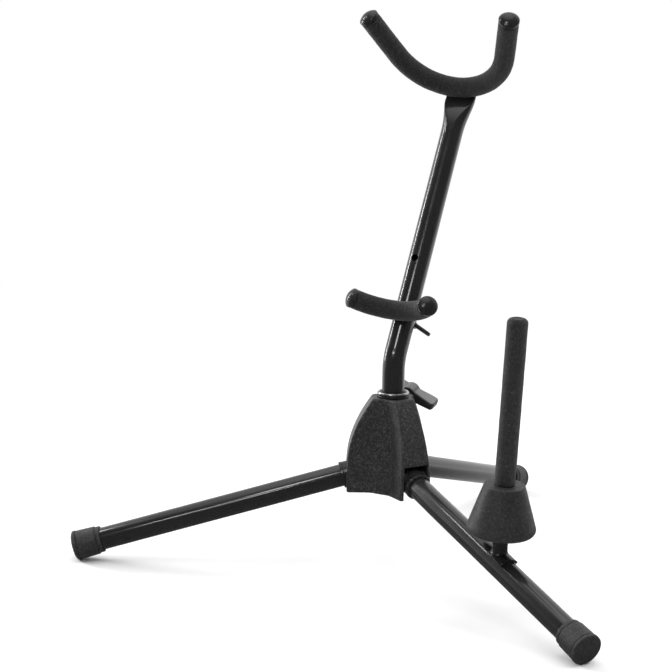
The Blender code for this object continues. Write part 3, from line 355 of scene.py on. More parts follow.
def rounded(corners, closed=False, steps=5):
    """An outline from (x, z, fillet radius) corners."""
    points = []
    count = len(corners)
    for i, (x, z, size) in enumerate(corners):
        ends_here = not closed and i in (0, count - 1)
        if size == 0.0 or ends_here:
            points.append((x, z))
            continue
        here = Vector((x, z))
        before = (Vector(corners[i - 1][:2]) - here).normalized()
        after = (Vector(corners[(i + 1) % count][:2]) - here).normalized()
        half = before.angle(after) / 2.0
        centre = here + (before + after).normalized() * (size / math.sin(half))
        first = here + before * (size / math.tan(half)) - centre
        sweep = math.pi - 2.0 * half
        if before.cross(after) > 0.0:
            sweep = -sweep
        for angle in evenly(0.0, sweep, steps):
            cosine = math.cos(angle)
            sine = math.sin(angle)
            points.append((centre.x + first.x * cosine - first.y * sine,
                           centre.y + first.x * sine + first.y * cosine))
    return points


def split_long(profile, longest):
    """The profile with its long stretches cut up evenly."""
    points = [profile[0]]
    for (x0, z0), (x1, z1) in zip(profile, profile[1:]):
        pieces = max(1, math.ceil(math.hypot(x1 - x0, z1 - z0) / longest))
        points += list(zip(evenly(x0, x1, pieces), evenly(z0, z1, pieces)))[1:]
    return points


def turned(name, profile, segments=ROUND, closed=False, wobble=None):
    """Turns a profile of (radius, height) about Z. wobble(angle, height) adds to the radius."""
    bm = bmesh.new()
    rows = []
    for radius, height in profile:
        if radius < 1e-7:
            rows.append([bm.verts.new((0.0, 0.0, height))])
            continue
        row = []
        for k in range(segments):
            angle = math.tau * k / segments
            reach = radius + (wobble(angle, height) if wobble else 0.0)
            row.append(bm.verts.new((reach * math.cos(angle), reach * math.sin(angle), height)))
        rows.append(row)
    pairs = list(zip(rows, rows[1:]))
    if closed:
        pairs.append((rows[-1], rows[0]))
    for low, high in pairs:
        join_rows(bm, low, high)
    return finished(bm, name)


def join_rows(bm, low, high):
    """Faces between two rings of points, either of which may be a single point."""
    if len(low) == 1 and len(high) == 1:
        return
    count = max(len(low), len(high))
    for k in range(count):
        j = (k + 1) % count
        if len(low) == 1:
            bm.faces.new((low[0], high[j], high[k]))
        elif len(high) == 1:
            bm.faces.new((low[k], low[j], high[0]))
        else:
            bm.faces.new((low[k], low[j], high[j], high[k]))


def skinned(name, rings, ring_ends):
    """Skins a stack of rings, with filled ends or joined round into a closed loop of rings."""
    bm = bmesh.new()
    rows = [[bm.verts.new(point) for point in ring] for ring in rings]
    for low, high in zip(rows, rows[1:]):
        join_rows(bm, low, high)
    if ring_ends == "filled":
        bm.faces.new(rows[0])
        bm.faces.new(rows[-1])
    else:
        join_rows(bm, rows[-1], rows[0])
    return finished(bm, name)


def cylinder(name, radius, start, end, axis="Z", segments=ROUND_SMALL):
    turn = {"X": ALONG_X, "Y": ALONG_Y, "Z": HERE}[axis]
    bm = bmesh.new()
    middle = Matrix.Translation((0.0, 0.0, (start + end) / 2.0))
    bmesh.ops.create_cone(bm, cap_ends=True, segments=segments, radius1=radius, radius2=radius,
                          depth=end - start, matrix=turn @ middle)
    return finished(bm, name)


def loose_object(name, data, matrix=None):
    """A new object in the scene, on no body."""
    item = bpy.data.objects.new(name, data)
    bpy.context.scene.collection.objects.link(item)
    if matrix is not None:
        item.matrix_world = matrix
    return item


def applied(item):
    """The object's mesh with its modifiers applied; the object is removed."""
    bpy.context.view_layer.update()
    graph = bpy.context.evaluated_depsgraph_get()
    mesh = bpy.data.meshes.new_from_object(item.evaluated_get(graph))
    bpy.data.objects.remove(item, do_unlink=True)
    return mesh


def combined(mesh, operation, tools):
    """Cuts or joins other meshes, each with its own matrix, into a mesh."""
    base = loose_object("base", mesh)
    helpers = []
    for tool_mesh, matrix in tools:
        helper = loose_object("tool", tool_mesh, matrix)
        helpers.append(helper)
        step = base.modifiers.new("step", "BOOLEAN")
        step.operation = operation
        step.solver = "EXACT"
        step.object = helper
    result = applied(base)
    for helper in helpers:
        bpy.data.objects.remove(helper, do_unlink=True)
    return smoothed(result)


def gathered(name, parts):
    """Holds several closed meshes, each with its own matrix, in one mesh."""
    bm = bmesh.new()
    for part, matrix in parts:
        part.transform(matrix)
        bm.from_mesh(part)
    return finished(bm, name)


def moulded(mesh, voxel, passes):
    """Melts overlapping shapes into one moulding with soft inner corners."""
    item = loose_object("moulding", mesh)
    melt = item.modifiers.new("melt", "REMESH")
    melt.mode = "VOXEL"
    melt.voxel_size = voxel
    melt.use_smooth_shade = True
    ease = item.modifiers.new("ease", "SMOOTH")
    ease.factor = 0.5
    ease.iterations = passes
    result = applied(item)
    result.shade_smooth()
    return result


def flat_plate(name, outline, thickness, edge):
    """A plate in the XY plane with its edges rounded over."""
    curve = bpy.data.curves.new(name, "CURVE")
    curve.dimensions = "2D"
    curve.fill_mode = "BOTH"
    curve.extrude = thickness / 2.0 - edge
    curve.bevel_depth = edge
    curve.bevel_resolution = 3
    curve.offset = -edge
    spline = curve.splines.new("POLY")
    spline.points.add(len(outline) - 1)
    spline.use_cyclic_u = True
    for point, (x, y) in zip(spline.points, outline):
        point.co = (x, y, 0.0, 1.0)
    item = loose_object(name, curve)
    mesh = applied(item)
    bm = bmesh.new()
    bm.from_mesh(mesh)
    bmesh.ops.remove_doubles(bm, verts=bm.verts, dist=0.00001)
    bpy.data.meshes.remove(mesh)
    return finished(bm, name)


def threaded(name, radius, start, end):
    """A rod with a V thread, chamfered at both ends."""
    steps_per_turn = 6
    count = math.ceil((end - start) / THREAD_PITCH * steps_per_turn)
    bm = bmesh.new()
    rows = [[bm.verts.new((0.0, 0.0, start))]]
    for i in range(count + 1):
        height = start + (end - start) * i / count
        near_end = min(height - start, end - height)
        limit = radius - max(0.0, THREAD_DEPTH * 1.5 - near_end)
        row = []
        for k in range(ROUND_SMALL):
            phase = (height / THREAD_PITCH - k / ROUND_SMALL) % 1.0
            depth = THREAD_DEPTH * abs(2.0 * phase - 1.0)
            reach = min(radius - depth, limit)
            angle = math.tau * k / ROUND_SMALL
            row.append(bm.verts.new((reach * math.cos(angle), reach * math.sin(angle), height)))
        rows.append(row)
    rows.append([bm.verts.new((0.0, 0.0, end))])
    for low, high in zip(rows, rows[1:]):
        join_rows(bm, low, high)
    return finished(bm, name)


def painted(mesh, material):
    mesh.materials.clear()
    mesh.materials.append(material)
    return mesh


def add_piece(name, mesh, slot, matrix, body, node, material=None):
    """Puts a mesh in its place on its body, instead of its CAD node, in the slot's finish."""
    piece = loose_object(name, painted(mesh, material or FINISHES[slot]), matrix)
    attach(piece, body)
    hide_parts(node)


# ---- material tools

class Graph:
    """Short ways to add and join the nodes of a tree."""

    def __init__(self, tree):
        self.nodes = tree.nodes
        self.links = tree.links

    def feed(self, socket, value):
        """Sets an input to a number, a vector or a colour, or links it to an output."""
        if isinstance(value, bpy.types.NodeSocket):
            self.links.new(value, socket)
        elif socket.type == "RGBA":
            socket.default_value = (*value, 1.0)
        else:
            socket.default_value = value

    def add(self, kind, inputs, **settings):
        """A new node with its settings, and its inputs by name or by number."""
        node = self.nodes.new("ShaderNode" + kind)
        for name, value in settings.items():
            setattr(node, name, value)
        for key, value in inputs.items():
            self.feed(node.inputs[key], value)
        return node

    def spread(self, value, low, high, to_low=0.0, to_high=1.0, **settings):
        """Maps a value from one range to another, held at both ends."""
        ends = {"Value": value, "From Min": low, "From Max": high, "To Min": to_low,
                "To Max": to_high}
        return self.add("MapRange", ends, **settings).outputs["Result"]

    def upward(self, low, high):
        """How much a point faces up, from 0 to 1."""
        normal = self.add("NewGeometry", {}).outputs["Normal"]
        split = self.add("SeparateXYZ", {"Vector": normal})
        return self.spread(split.outputs["Z"], low, high)

    def maths(self, operation, first, second):
        return self.add("Math", {0: first, 1: second}, operation=operation).outputs["Value"]

    def towards_camera(self, place):
        """How far a place or a direction reaches towards the camera."""
        reach = self.add("VectorMath", {0: place, 1: camera_axes()[3]}, operation="DOT_PRODUCT")
        return reach.outputs["Value"]


class Shade(Graph):
    """A node material being built round a Principled shader."""

    def __init__(self, name, metallic=0.0):
        self.material = bpy.data.materials.new(name)
        self.material.use_nodes = True
        super().__init__(self.material.node_tree)
        self.shader = self.nodes["Principled BSDF"]
        self.place = self.add("TexCoord", {}).outputs["Object"]
        self.bump = None
        self.set_input("Metallic", metallic)

    def stretched(self, scale):
        """Object coordinates, stretched."""
        return self.add("Mapping", {"Vector": self.place, "Scale": scale}).outputs["Vector"]

    def noise(self, scale, detail=3.0, roughness=0.5, place=None, distortion=0.0):
        inputs = {"Vector": place or self.place, "Scale": scale, "Detail": detail,
                  "Roughness": roughness, "Distortion": distortion}
        return self.add("TexNoise", inputs).outputs["Fac"]

    def cells(self, scale):
        return self.add("TexVoronoi", {"Vector": self.place, "Scale": scale}).outputs["Distance"]

    def mix(self, factor, first, second):
        """Mixes two colours."""
        return self.add("Mix", {"Factor": factor, "A": first, "B": second},
                        data_type="RGBA").outputs["Result"]

    def edges(self, start, full):
        """How much of an outer edge a point is on, from 0 to 1."""
        return self.spread(self.add("NewGeometry", {}).outputs["Pointiness"], start, full)

    def add_bump(self, height, strength, distance):
        inputs = {"Height": height, "Strength": strength, "Distance": distance}
        if self.bump is not None:
            inputs["Normal"] = self.bump
        self.bump = self.add("Bump", inputs).outputs["Normal"]

    def set_input(self, name, value):
        self.feed(self.shader.inputs[name], value)

    def done(self, colour, roughness):
        self.set_input("Base Color", colour)
        self.set_input("Roughness", roughness)
        self.set_input("Normal", self.bump)
        return self.material


# ---- materials

def grey(level, blue=0.0):
    """A grey with a little more or less blue."""
    return (level, level, level + blue)


def paint_material():
    """Gloss black paint on steel: orange peel, fine scratches along the tube and a little dust."""
    shade = Shade("gloss_black_paint")
    tone = shade.mix(shade.noise(22.0), grey(0.0105, 0.0005), grey(0.017, 0.001))
    specks = shade.spread(shade.noise(1400.0, 2.0, 0.6), 0.66, 0.74)
    dust = shade.maths("MULTIPLY", specks, shade.upward(-0.2, 0.9))
    colour = shade.mix(dust, tone, grey(0.05, -0.001))
    rubbed = shade.spread(shade.noise(28.0, 4.0), 0.35, 0.75, 0.15, 0.26)
    scratches = shade.noise(1.0, 4.0, 0.6, shade.stretched((2600.0, 2600.0, 28.0)))
    fine = shade.spread(scratches, 0.60, 0.72, 0.0, 0.14)
    shade.add_bump(shade.noise(330.0, 2.0), 0.10, 0.00012)
    shade.add_bump(shade.noise(70.0, 1.0), 0.06, 0.0004)
    shade.set_input("Coat Weight", 0.5)
    shade.set_input("Coat Roughness", 0.06)
    return shade.done(colour, shade.maths("ADD", rubbed, fine))


def hub_material():
    """Fine-grained charcoal moulding, paler where edges are rubbed."""
    shade = Shade("charcoal_hub_moulding")
    grain = shade.noise(1700.0, 3.0, 0.6)
    leather = shade.noise(620.0, 4.0, 0.7)
    tone = shade.mix(shade.noise(45.0, 5.0, 0.6), grey(0.020, 0.001), grey(0.036, 0.001))
    pitted = shade.mix(shade.spread(grain, 0.35, 0.65), grey(0.009, 0.001), tone)
    speckled = shade.mix(shade.spread(leather, 0.48, 0.68), pitted, grey(0.092, 0.001))
    worn = shade.maths("MULTIPLY", shade.edges(0.51, 0.58), shade.noise(220.0, 4.0))
    colour = shade.mix(worn, speckled, grey(0.105, 0.001))
    rough = shade.spread(shade.noise(30.0, 4.0), 0.3, 0.7, 0.33, 0.45)
    shade.add_bump(grain, 0.35, 0.00018)
    shade.add_bump(leather, 0.35, 0.00030)
    shade.add_bump(shade.noise(60.0, 2.0), 0.12, 0.0006)
    return shade.done(colour, rough)


def gloss_plastic_material():
    """Smooth black moulding with faint swirls."""
    shade = Shade("gloss_black_moulding")
    tone = shade.mix(shade.noise(120.0, 4.0), grey(0.011, 0.001), grey(0.019, 0.001))
    colour = shade.mix(shade.edges(0.56, 0.66), tone, grey(0.04, 0.001))
    rough = shade.spread(shade.noise(180.0, 5.0, 0.6), 0.3, 0.7, 0.16, 0.30)
    shade.add_bump(shade.noise(260.0, 2.0), 0.10, 0.0002)
    return shade.done(colour, rough)


def satin_material(name, painted_top_light_level):
    """Satin black moulding, scuffed, with painted top light: as pale as stated where it faces up.
    """
    shade = Shade(name)
    grain = shade.noise(650.0, 4.0, 0.7)
    tone = shade.mix(shade.noise(90.0, 5.0, 0.6), grey(0.020, 0.001), grey(0.034, 0.001))
    scuffs = shade.spread(shade.noise(420.0, 5.0, 0.7), 0.52, 0.75, 0.0, 0.6)
    scuffed = shade.mix(scuffs, tone, grey(0.075, 0.001))
    patches = shade.spread(grain, 0.2, 0.7, 0.6, 1.0)
    # Painted top light: faces that point up are mixed paler, in patches.
    painted_top_light = shade.maths("MULTIPLY", shade.upward(0.30, 0.80), patches)
    colour = shade.mix(painted_top_light, scuffed, grey(painted_top_light_level))
    rough = shade.spread(shade.noise(70.0, 4.0), 0.3, 0.7, 0.30, 0.44)
    shade.add_bump(grain, 0.25, 0.00022)
    return shade.done(colour, rough)


def chrome_material():
    """Bright ring with hairline wear."""
    shade = Shade("bright_chrome", metallic=1.0)
    tone = shade.mix(shade.noise(300.0, 4.0), grey(0.46, 0.01), grey(0.66, 0.01))
    hair = shade.noise(1.0, 4.0, 0.7, shade.stretched((180.0, 180.0, 4200.0)))
    rough = shade.spread(hair, 0.4, 0.75, 0.06, 0.22)
    shade.add_bump(hair, 0.05, 0.00005)
    return shade.done(tone, rough)


def zinc_material():
    """Zinc-plated steel with a soft, cloudy finish."""
    shade = Shade("zinc_plated_steel", metallic=1.0)
    tone = shade.mix(shade.noise(420.0, 5.0, 0.6), grey(0.40, -0.01), grey(0.60, -0.02))
    rough = shade.spread(shade.noise(600.0, 4.0), 0.3, 0.7, 0.26, 0.44)
    shade.add_bump(shade.noise(1500.0, 3.0), 0.15, 0.00006)
    return shade.done(tone, rough)


def brass_material():
    """Turned brass of the threaded insert."""
    shade = Shade("turned_brass", metallic=1.0)
    tone = shade.mix(shade.noise(500.0, 4.0), (0.52, 0.37, 0.13), (0.68, 0.51, 0.22))
    rings = shade.noise(1.0, 2.0, 0.5, shade.stretched((60.0, 60.0, 5000.0)))
    shade.add_bump(rings, 0.2, 0.00005)
    return shade.done(tone, shade.spread(rings, 0.3, 0.7, 0.22, 0.40))


def foam_material():
    """Matte black foam rubber with a fine open skin and painted shade in its pores."""
    shade = Shade("black_foam")
    pores = shade.cells(1300.0)
    skin = shade.noise(620.0, 6.0, 0.72)
    tone = shade.mix(shade.noise(120.0, 4.0), grey(0.009, 0.0005), grey(0.017, 0.001))
    bright = shade.mix(shade.spread(skin, 0.48, 0.70), tone, grey(0.050))
    # Painted shade in the pores: the foam is mixed darker round each pore.
    colour = shade.mix(shade.spread(pores, 0.05, 0.35, 1.0, 0.0), bright, grey(0.004))
    shade.add_bump(pores, 0.5, 0.00026)
    shade.add_bump(skin, 0.6, 0.00045)
    shade.set_input("Sheen Weight", 0.12)
    shade.set_input("Sheen Roughness", 0.5)
    shade.set_input("Specular IOR Level", 0.3)
    return shade.done(colour, shade.spread(skin, 0.3, 0.7, 0.70, 0.95))


def rubber_material():
    """Satin charcoal rubber with a faint pale bloom."""
    shade = Shade("charcoal_rubber")
    grain = shade.noise(560.0, 5.0, 0.7)
    tone = shade.mix(shade.noise(70.0, 5.0, 0.6), grey(0.014, 0.001), grey(0.024, 0.001))
    bloom = shade.spread(shade.noise(26.0, 5.0, 0.65), 0.5, 0.8, 0.0, 0.4)
    clouded = shade.mix(bloom, tone, grey(0.040, -0.001))
    speckled = shade.mix(shade.spread(grain, 0.48, 0.68), clouded, grey(0.054))
    worn = shade.maths("MULTIPLY", shade.edges(0.51, 0.58), 0.7)
    colour = shade.mix(worn, speckled, grey(0.085))
    shade.add_bump(shade.noise(1500.0, 4.0, 0.6), 0.30, 0.00014)
    shade.add_bump(grain, 0.35, 0.00028)
    shade.add_bump(shade.noise(110.0, 3.0), 0.10, 0.0005)
    return shade.done(colour, shade.spread(shade.noise(240.0, 4.0), 0.3, 0.7, 0.40, 0.58))


def felt_material():
    """Charcoal felt: short matted fibres with a soft nap."""
    shade = Shade("charcoal_felt")
    fibres = shade.noise(700.0, 6.0, 0.75, distortion=2.5)
    lint = shade.noise(1.0, 5.0, 0.7, shade.stretched((620.0, 620.0, 240.0)), 1.2)
    tone = shade.mix(shade.spread(fibres, 0.38, 0.62), grey(0.013, 0.001), grey(0.044, 0.002))
    colour = shade.mix(shade.spread(lint, 0.55, 0.75, 0.0, 0.7), tone, grey(0.105, 0.002))
    shade.add_bump(fibres, 0.6, 0.0004)
    shade.add_bump(lint, 0.45, 0.0004)
    shade.set_input("Sheen Weight", 0.15)
    shade.set_input("Sheen Roughness", 0.45)
    shade.set_input("Specular IOR Level", 0.15)
    return shade.done(colour, 0.95)


def floor_material():
    """Plain pale floor that fades into the backdrop, and is dim to reflections in front."""
    shade = Shade("pale_floor")
    shade.add_bump(shade.noise(300.0, 3.0), 0.03, 0.0005)
    material = shade.done(shade.mix(shade.noise(6.0, 4.0), grey(0.86), grey(0.89)), 0.7)
    ray = shade.add("LightPath", {})
    brightness = shade.spread(ray.outputs["Is Camera Ray"], 0.0, 1.0, BACKDROP_DIM, BACKDROP_BRIGHT)
    backdrop = shade.add("Emission", {"Strength": brightness})
    distance = shade.add("VectorMath", {0: shade.place}, operation="LENGTH")
    fade = shade.spread(distance.outputs["Value"], FLOOR_FADE_START, FLOOR_FADE_END)
    seen = shade.add("MixShader", {0: fade, 1: shade.shader.outputs["BSDF"],
                                   2: backdrop.outputs["Emission"]})
    dimmed = shade.spread(shade.towards_camera(shade.place), FLOOR_DIM_START, 0.0,
                          REFLECTED_FLOOR_BEHIND, REFLECTED_FLOOR_FRONT)
    mirrored = shade.add("Emission", {"Strength": dimmed})
    whole = shade.add("MixShader", {0: ray.outputs["Is Glossy Ray"], 1: seen.outputs["Shader"],
                                    2: mirrored.outputs["Emission"]})
    shade.links.new(whole.outputs["Shader"], shade.nodes["Material Output"].inputs["Surface"])
    return material


# ---- hub

def lobe_section(height, inset):
    """Reach and half width of a lobe and reach of the panels at one height, drawn in by inset."""
    rise = max(0.0, (height - HUB_SHOULDER) / (HUB_TOP - HUB_SHOULDER))
    whole_rise = (height - HUB_BOTTOM) / (HUB_TOP - HUB_BOTTOM)
    reach = LOBE_REACH * (1.0 - LOBE_REACH_LOSS * rise ** 2)
    narrowing = (LOBE_HALF_WIDTH - LOBE_TOP_HALF_WIDTH) * rise ** LOBE_NARROWING_POWER
    panel = PANEL_BOTTOM_REACH + (PANEL_TOP_REACH - PANEL_BOTTOM_REACH) * whole_rise
    return reach - inset, LOBE_HALF_WIDTH - narrowing - inset, panel - inset


def hub_ring(height, inset):
    """Outline of the housing at one height: rounded lobe corners and softly folded panels."""
    reach, half_width, panel = lobe_section(height, inset)
    sixth_turn = math.radians(60.0)
    corner_x = reach * math.cos(sixth_turn) + half_width * math.sin(sixth_turn)
    corner_y = reach * math.sin(sixth_turn) - half_width * math.cos(sixth_turn)
    fold_y = corner_y * PANEL_FOLD_SHARE
    corners = []
    for turn in LOBE_TURNS:
        middle = turn + sixth_turn
        for x, y, fillet in ((corner_x, -corner_y, LOBE_CORNER_RADIUS),
                             (panel, -fold_y, PANEL_FOLD_RADIUS),
                             (panel, fold_y, PANEL_FOLD_RADIUS),
                             (corner_x, corner_y, LOBE_CORNER_RADIUS)):
            corners.append((x * math.cos(middle) - y * math.sin(middle),
                            x * math.sin(middle) + y * math.cos(middle), fillet))
    return [Vector((x, y, height)) for x, y in rounded(corners, closed=True, steps=7)]


def hub_levels():
    """Heights up the housing, each with how far the outline is drawn in to round the edges."""
    size = HUB_EDGE_RADIUS
    low = HUB_BOTTOM + size
    high = HUB_TOP - size
    quarter = evenly(0.0, math.radians(90.0), 5)
    bottom = [(low - size * math.cos(angle), size * (1.0 - math.sin(angle))) for angle in quarter]
    sides = [(height, 0.0) for height in evenly(low, high, 46)]
    top = [(high + size * math.sin(angle), size * (1.0 - math.cos(angle))) for angle in quarter]
    return bottom[:-1] + sides + top[1:]


def slot_cutter(name):
    """A leg's slot with an eased mouth, reaching out of the lobe and out of the bottom."""
    low = HUB_BOTTOM - CUT_OVERRUN
    face = LOBE_REACH - SLOT_MOUTH_EASE
    far = LOBE_REACH + CUT_OVERRUN
    wide = SLOT_MOUTH_EASE + CUT_OVERRUN
    rings = []
    for x, extra in ((SLOT_INNER_REACH, 0.0), (face, 0.0), (far, wide)):
        half = SLOT_HALF_WIDTH + extra
        roof = SLOT_ROOF + extra
        rings.append([Vector((x, -half, low)), Vector((x, half, low)),
                      Vector((x, half, roof)), Vector((x, -half, roof))])
    return skinned(name, rings, "filled")


def build_hub():
    mesh = skinned("hub_shell", [hub_ring(z, inset) for z, inset in hub_levels()], "filled")
    socket_profile = rounded([(0.0, HUB_TOP + CUT_OVERRUN, 0.0),
                              (SOCKET_RADIUS + CUT_OVERRUN, HUB_TOP + CUT_OVERRUN, 0.0),
                              (SOCKET_RADIUS, HUB_TOP - FIT_GAP, 0.0),
                              (SOCKET_RADIUS, SOCKET_FLOOR, 0.0), (0.0, SOCKET_FLOOR, 0.0)])
    hub_from_world = HUB_FRAME.inverted()
    tools = [(turned("socket_tool", socket_profile), HERE)]
    pocket_end = SLOT_HALF_WIDTH + PIN_POCKET_DEPTH
    pocket = cylinder("pocket_tool", PIN_RADIUS + FIT_GAP, -pocket_end, pocket_end, "Y")
    for turn, side in zip(LOBE_TURNS, ("left", "right", "rear")):
        tools.append((slot_cutter("slot_tool"), Matrix.Rotation(turn, 4, "Z")))
        tools.append((pocket, hub_from_world @ leg_matrix(side)))
    clamp = hub_from_world @ CLAMP_FRAME
    tools.append((cylinder("bore_tool", CLAMP_SCREW_RADIUS + FIT_GAP, -CUT_OVERRUN,
                           CLAMP_BOSS_START, "Y"), clamp))
    tools.append((cylinder("seat_tool", CLAMP_INSERT_RADIUS + FIT_GAP, CLAMP_INSERT_START - FIT_GAP,
                           CLAMP_BOSS_START + CUT_OVERRUN, "Y"), clamp))
    mesh = combined(mesh, "DIFFERENCE", tools)
    add_piece("hub_shell", mesh, "hub_plastic", HUB_FRAME, "hub", "hub_housing")


def build_bush():
    low = HUB_TOP + FIT_GAP
    high = low + BUSH_FLANGE_THICKNESS
    outer = SOCKET_RADIUS - FIT_GAP
    corners = [(INSERTED_RADIUS, BUSH_TOP, 0.0002), (BUSH_NECK_RADIUS, BUSH_TOP, 0.0003),
               (BUSH_NECK_RADIUS, high, 0.0001), (BUSH_FLANGE_RADIUS, high, 0.0005),
               (BUSH_FLANGE_RADIUS, low, 0.0004), (outer, low, 0.0),
               (outer, UPRIGHT_BOTTOM, 0.0004), (INSERTED_RADIUS, UPRIGHT_BOTTOM, 0.0002)]
    mesh = turned("swivel_bush", rounded(corners, closed=True), closed=True)
    add_piece("swivel_bush", mesh, "black_plastic", HUB_FRAME, "swivel", "hub_bush")


def build_ring():
    """Bright ring: a round bar, flattened a little where it sits on the bush."""
    profile = [(RING_MIDDLE_RADIUS + RING_BAR_RADIUS * math.cos(angle),
                RING_HEIGHT - min(RING_BAR_RADIUS * math.sin(angle), RING_FLAT))
               for angle in evenly(0.0, math.tau, 28)[:-1]]
    mesh = turned("bright_ring", profile, closed=True)
    add_piece("bright_ring", mesh, "chrome", HUB_FRAME, "swivel", "hub_collar_ring")


# ---- clamp

def wing_outline(root, tip, corner):
    """One wing's outline; root and tip are (distance out, low edge, high edge)."""
    root_x, root_low, root_high = root
    span, tip_low, tip_high = tip
    start_x = span - corner
    low_edge = []
    high_edge = []
    for share in evenly(0.0, 1.0, 10)[:-1]:
        ease = smooth_step(share)
        x = root_x + (start_x - root_x) * share
        low_edge.append((x, root_low + (tip_low - root_low) * ease))
        high_edge.append((x, root_high + (tip_high - root_high) * ease))
    tip_corners = [(start_x, tip_low, 0.0), (span, tip_low, corner), (span, tip_high, corner),
                   (start_x, tip_high, 0.0)]
    return low_edge + rounded(tip_corners, steps=8) + high_edge[::-1]


def winged(name, boss_corners, outline, plate_size, root_growth, turn, melting):
    """A boss with two opposite wings, each thicker towards its root, melted into one."""
    shapes = [(turned(name + "_boss", rounded(boss_corners), ROUND_SMALL), ALONG_Y)]
    span = max(x for x, y in outline)
    for half_turn in (0.0, math.pi):
        plate = flat_plate(name + "_wing", outline, *plate_size)
        for vertex in plate.vertices:
            vertex.co.z *= 1.0 + root_growth * max(0.0, 1.0 - vertex.co.x / span)
        shapes.append((plate, Matrix.Rotation(turn + half_turn, 4, "Y")))
    return moulded(gathered(name + "_shapes", shapes), *melting)


def build_clamp_screw():
    mesh = threaded("clamp_screw_thread", CLAMP_SCREW_RADIUS, 0.0, CLAMP_SCREW_LENGTH)
    add_piece("clamp_screw_thread", mesh, "zinc_steel", CLAMP_FRAME @ ALONG_Y, "clamp",
              "clamp_screw")


def build_clamp_knob():
    low = CLAMP_BOSS_START
    high = low + CLAMP_BOSS_LENGTH
    corners = [(0.0, high + CLAMP_BOSS_DOME, 0.0), (CLAMP_BOSS_RADIUS, high, CLAMP_WING_EDGE),
               (CLAMP_BOSS_RADIUS, low, 0.0012), (CLAMP_NECK_RADIUS, low, 0.0003),
               (CLAMP_NECK_RADIUS, CLAMP_NECK_START, 0.0004), (0.0, CLAMP_NECK_START, 0.0)]
    wing_low = low + CLAMP_WING_LOW_INSET
    outline = wing_outline((CLAMP_WING_ROOT, wing_low, high - CLAMP_WING_HIGH_INSET),
                           (CLAMP_WING_SPAN, wing_low, high + CLAMP_WING_SWEEP),
                           CLAMP_WING_CORNER)
    mesh = winged("knob", corners, outline, (CLAMP_WING_THICKNESS, CLAMP_WING_EDGE),
                  CLAMP_WING_ROOT_GROWTH, CLAMP_TURN, CLAMP_MELTING)
    bore = cylinder("knob_bore", CLAMP_SCREW_RADIUS + FIT_GAP, CLAMP_NECK_START - CUT_OVERRUN,
                    CLAMP_SCREW_LENGTH + FIT_GAP, "Y")
    mesh = combined(mesh, "DIFFERENCE", [(bore, HERE)])
    add_piece("wing_knob", mesh, "black_plastic", CLAMP_FRAME, "clamp", "clamp_knob",
              satin_material("satin_black_knob", KNOB_PAINTED_TOP_LIGHT))


# ---- legs

def build_knuckle(side):
    mouth = KNUCKLE_LENGTH
    bead_radius = KNUCKLE_RADIUS + BEAD_HEIGHT
    bead_end = mouth - BEAD_LENGTH
    corners = [(0.0, mouth, 0.0), (bead_radius, mouth, 0.0006), (bead_radius, bead_end, 0.0003),
               (KNUCKLE_RADIUS, bead_end - BEAD_SLOPE, 0.0003), (KNUCKLE_RADIUS, 0.0, 0.0006),
               (0.0, 0.0, 0.0)]
    collar = turned("collar", rounded(corners))
    collar.transform(ALONG_X)
    half = SLOT_HALF_WIDTH - FIT_GAP * 2.0
    eye_corners = [(0.0, half, 0.0), (KNUCKLE_EYE_RADIUS, half, 0.0006),
                   (KNUCKLE_EYE_RADIUS, -half, 0.0006), (0.0, -half, 0.0)]
    eye = turned("eye", rounded(eye_corners))
    mesh = combined(collar, "UNION", [(eye, ALONG_Y)])
    socket = cylinder("socket", INSERTED_RADIUS, LEG_TUBE_START - FIT_GAP, mouth + CUT_OVERRUN,
                      "X", ROUND)
    bore = cylinder("bore", PIN_RADIUS + PIN_CLEARANCE, -SLOT_HALF_WIDTH, SLOT_HALF_WIDTH, "Y")
    mesh = combined(mesh, "DIFFERENCE", [(socket, HERE), (bore, HERE)])
    add_piece(side + "_knuckle", mesh, "black_plastic", leg_matrix(side), side + "_leg",
              side + "_leg_knuckle")


def build_leg_tube(side):
    start = LEG_TUBE_START
    end = LEG_LENGTH - FOOT_END_THICKNESS - FIT_GAP
    inner = TUBE_RADIUS - TUBE_WALL
    ease = 0.0003
    corners = [(inner, end, ease), (TUBE_RADIUS, end, ease), (TUBE_RADIUS, start, ease),
               (inner, start, ease)]
    mesh = turned(side + "_tube", rounded(corners, closed=True), closed=True)
    add_piece(side + "_tube", mesh, "gloss_paint", leg_matrix(side) @ ALONG_X, side + "_leg",
              side + "_leg_tube")


def foot_profile():
    """Rubber cup: low dome, end disc, groove, flared wall, groove and a lip at the mouth."""
    end = LEG_LENGTH
    disc = end - FOOT_END_THICKNESS
    mouth = end - FOOT_LENGTH
    dome = FOOT_DOME_RISE
    corners = [(0.0, end + dome, 0.0), (FOOT_RADIUS * 0.45, end + dome * 0.82, 0.02),
               (FOOT_RADIUS * 0.86, end + dome * 0.1, 0.003), (FOOT_RADIUS, end - 0.0012, 0.001),
               (FOOT_RADIUS, disc + 0.0004, 0.0004), (FOOT_RADIUS - 0.0010, disc - 0.0001, 0.0002),
               (FOOT_RADIUS - 0.0004, disc - 0.0009, 0.0003),
               (FOOT_MOUTH_RADIUS + 0.0007, mouth + 0.0046, 0.0004),
               (FOOT_MOUTH_RADIUS - 0.0008, mouth + 0.0040, 0.0003),
               (FOOT_MOUTH_RADIUS - 0.0001, mouth + 0.0032, 0.0003),
               (FOOT_MOUTH_RADIUS - 0.0001, mouth, 0.0006),
               (INSERTED_RADIUS, mouth, 0.0003), (INSERTED_RADIUS, disc, 0.0),
               (0.0, disc, 0.0)]
    return split_long(rounded(corners), 0.0016)


def build_foot(side):
    matrix = leg_matrix(side) @ ALONG_X
    mesh = turned(side + "_rubber_foot", foot_profile(), ROUND)
    back = matrix.inverted()
    for vertex in mesh.vertices:
        place = matrix @ vertex.co
        if place.z < 0.0:
            place.z = 0.0
            vertex.co = back @ place
    add_piece(side + "_rubber_foot", mesh, "rubber", matrix, side + "_leg", side + "_foot")


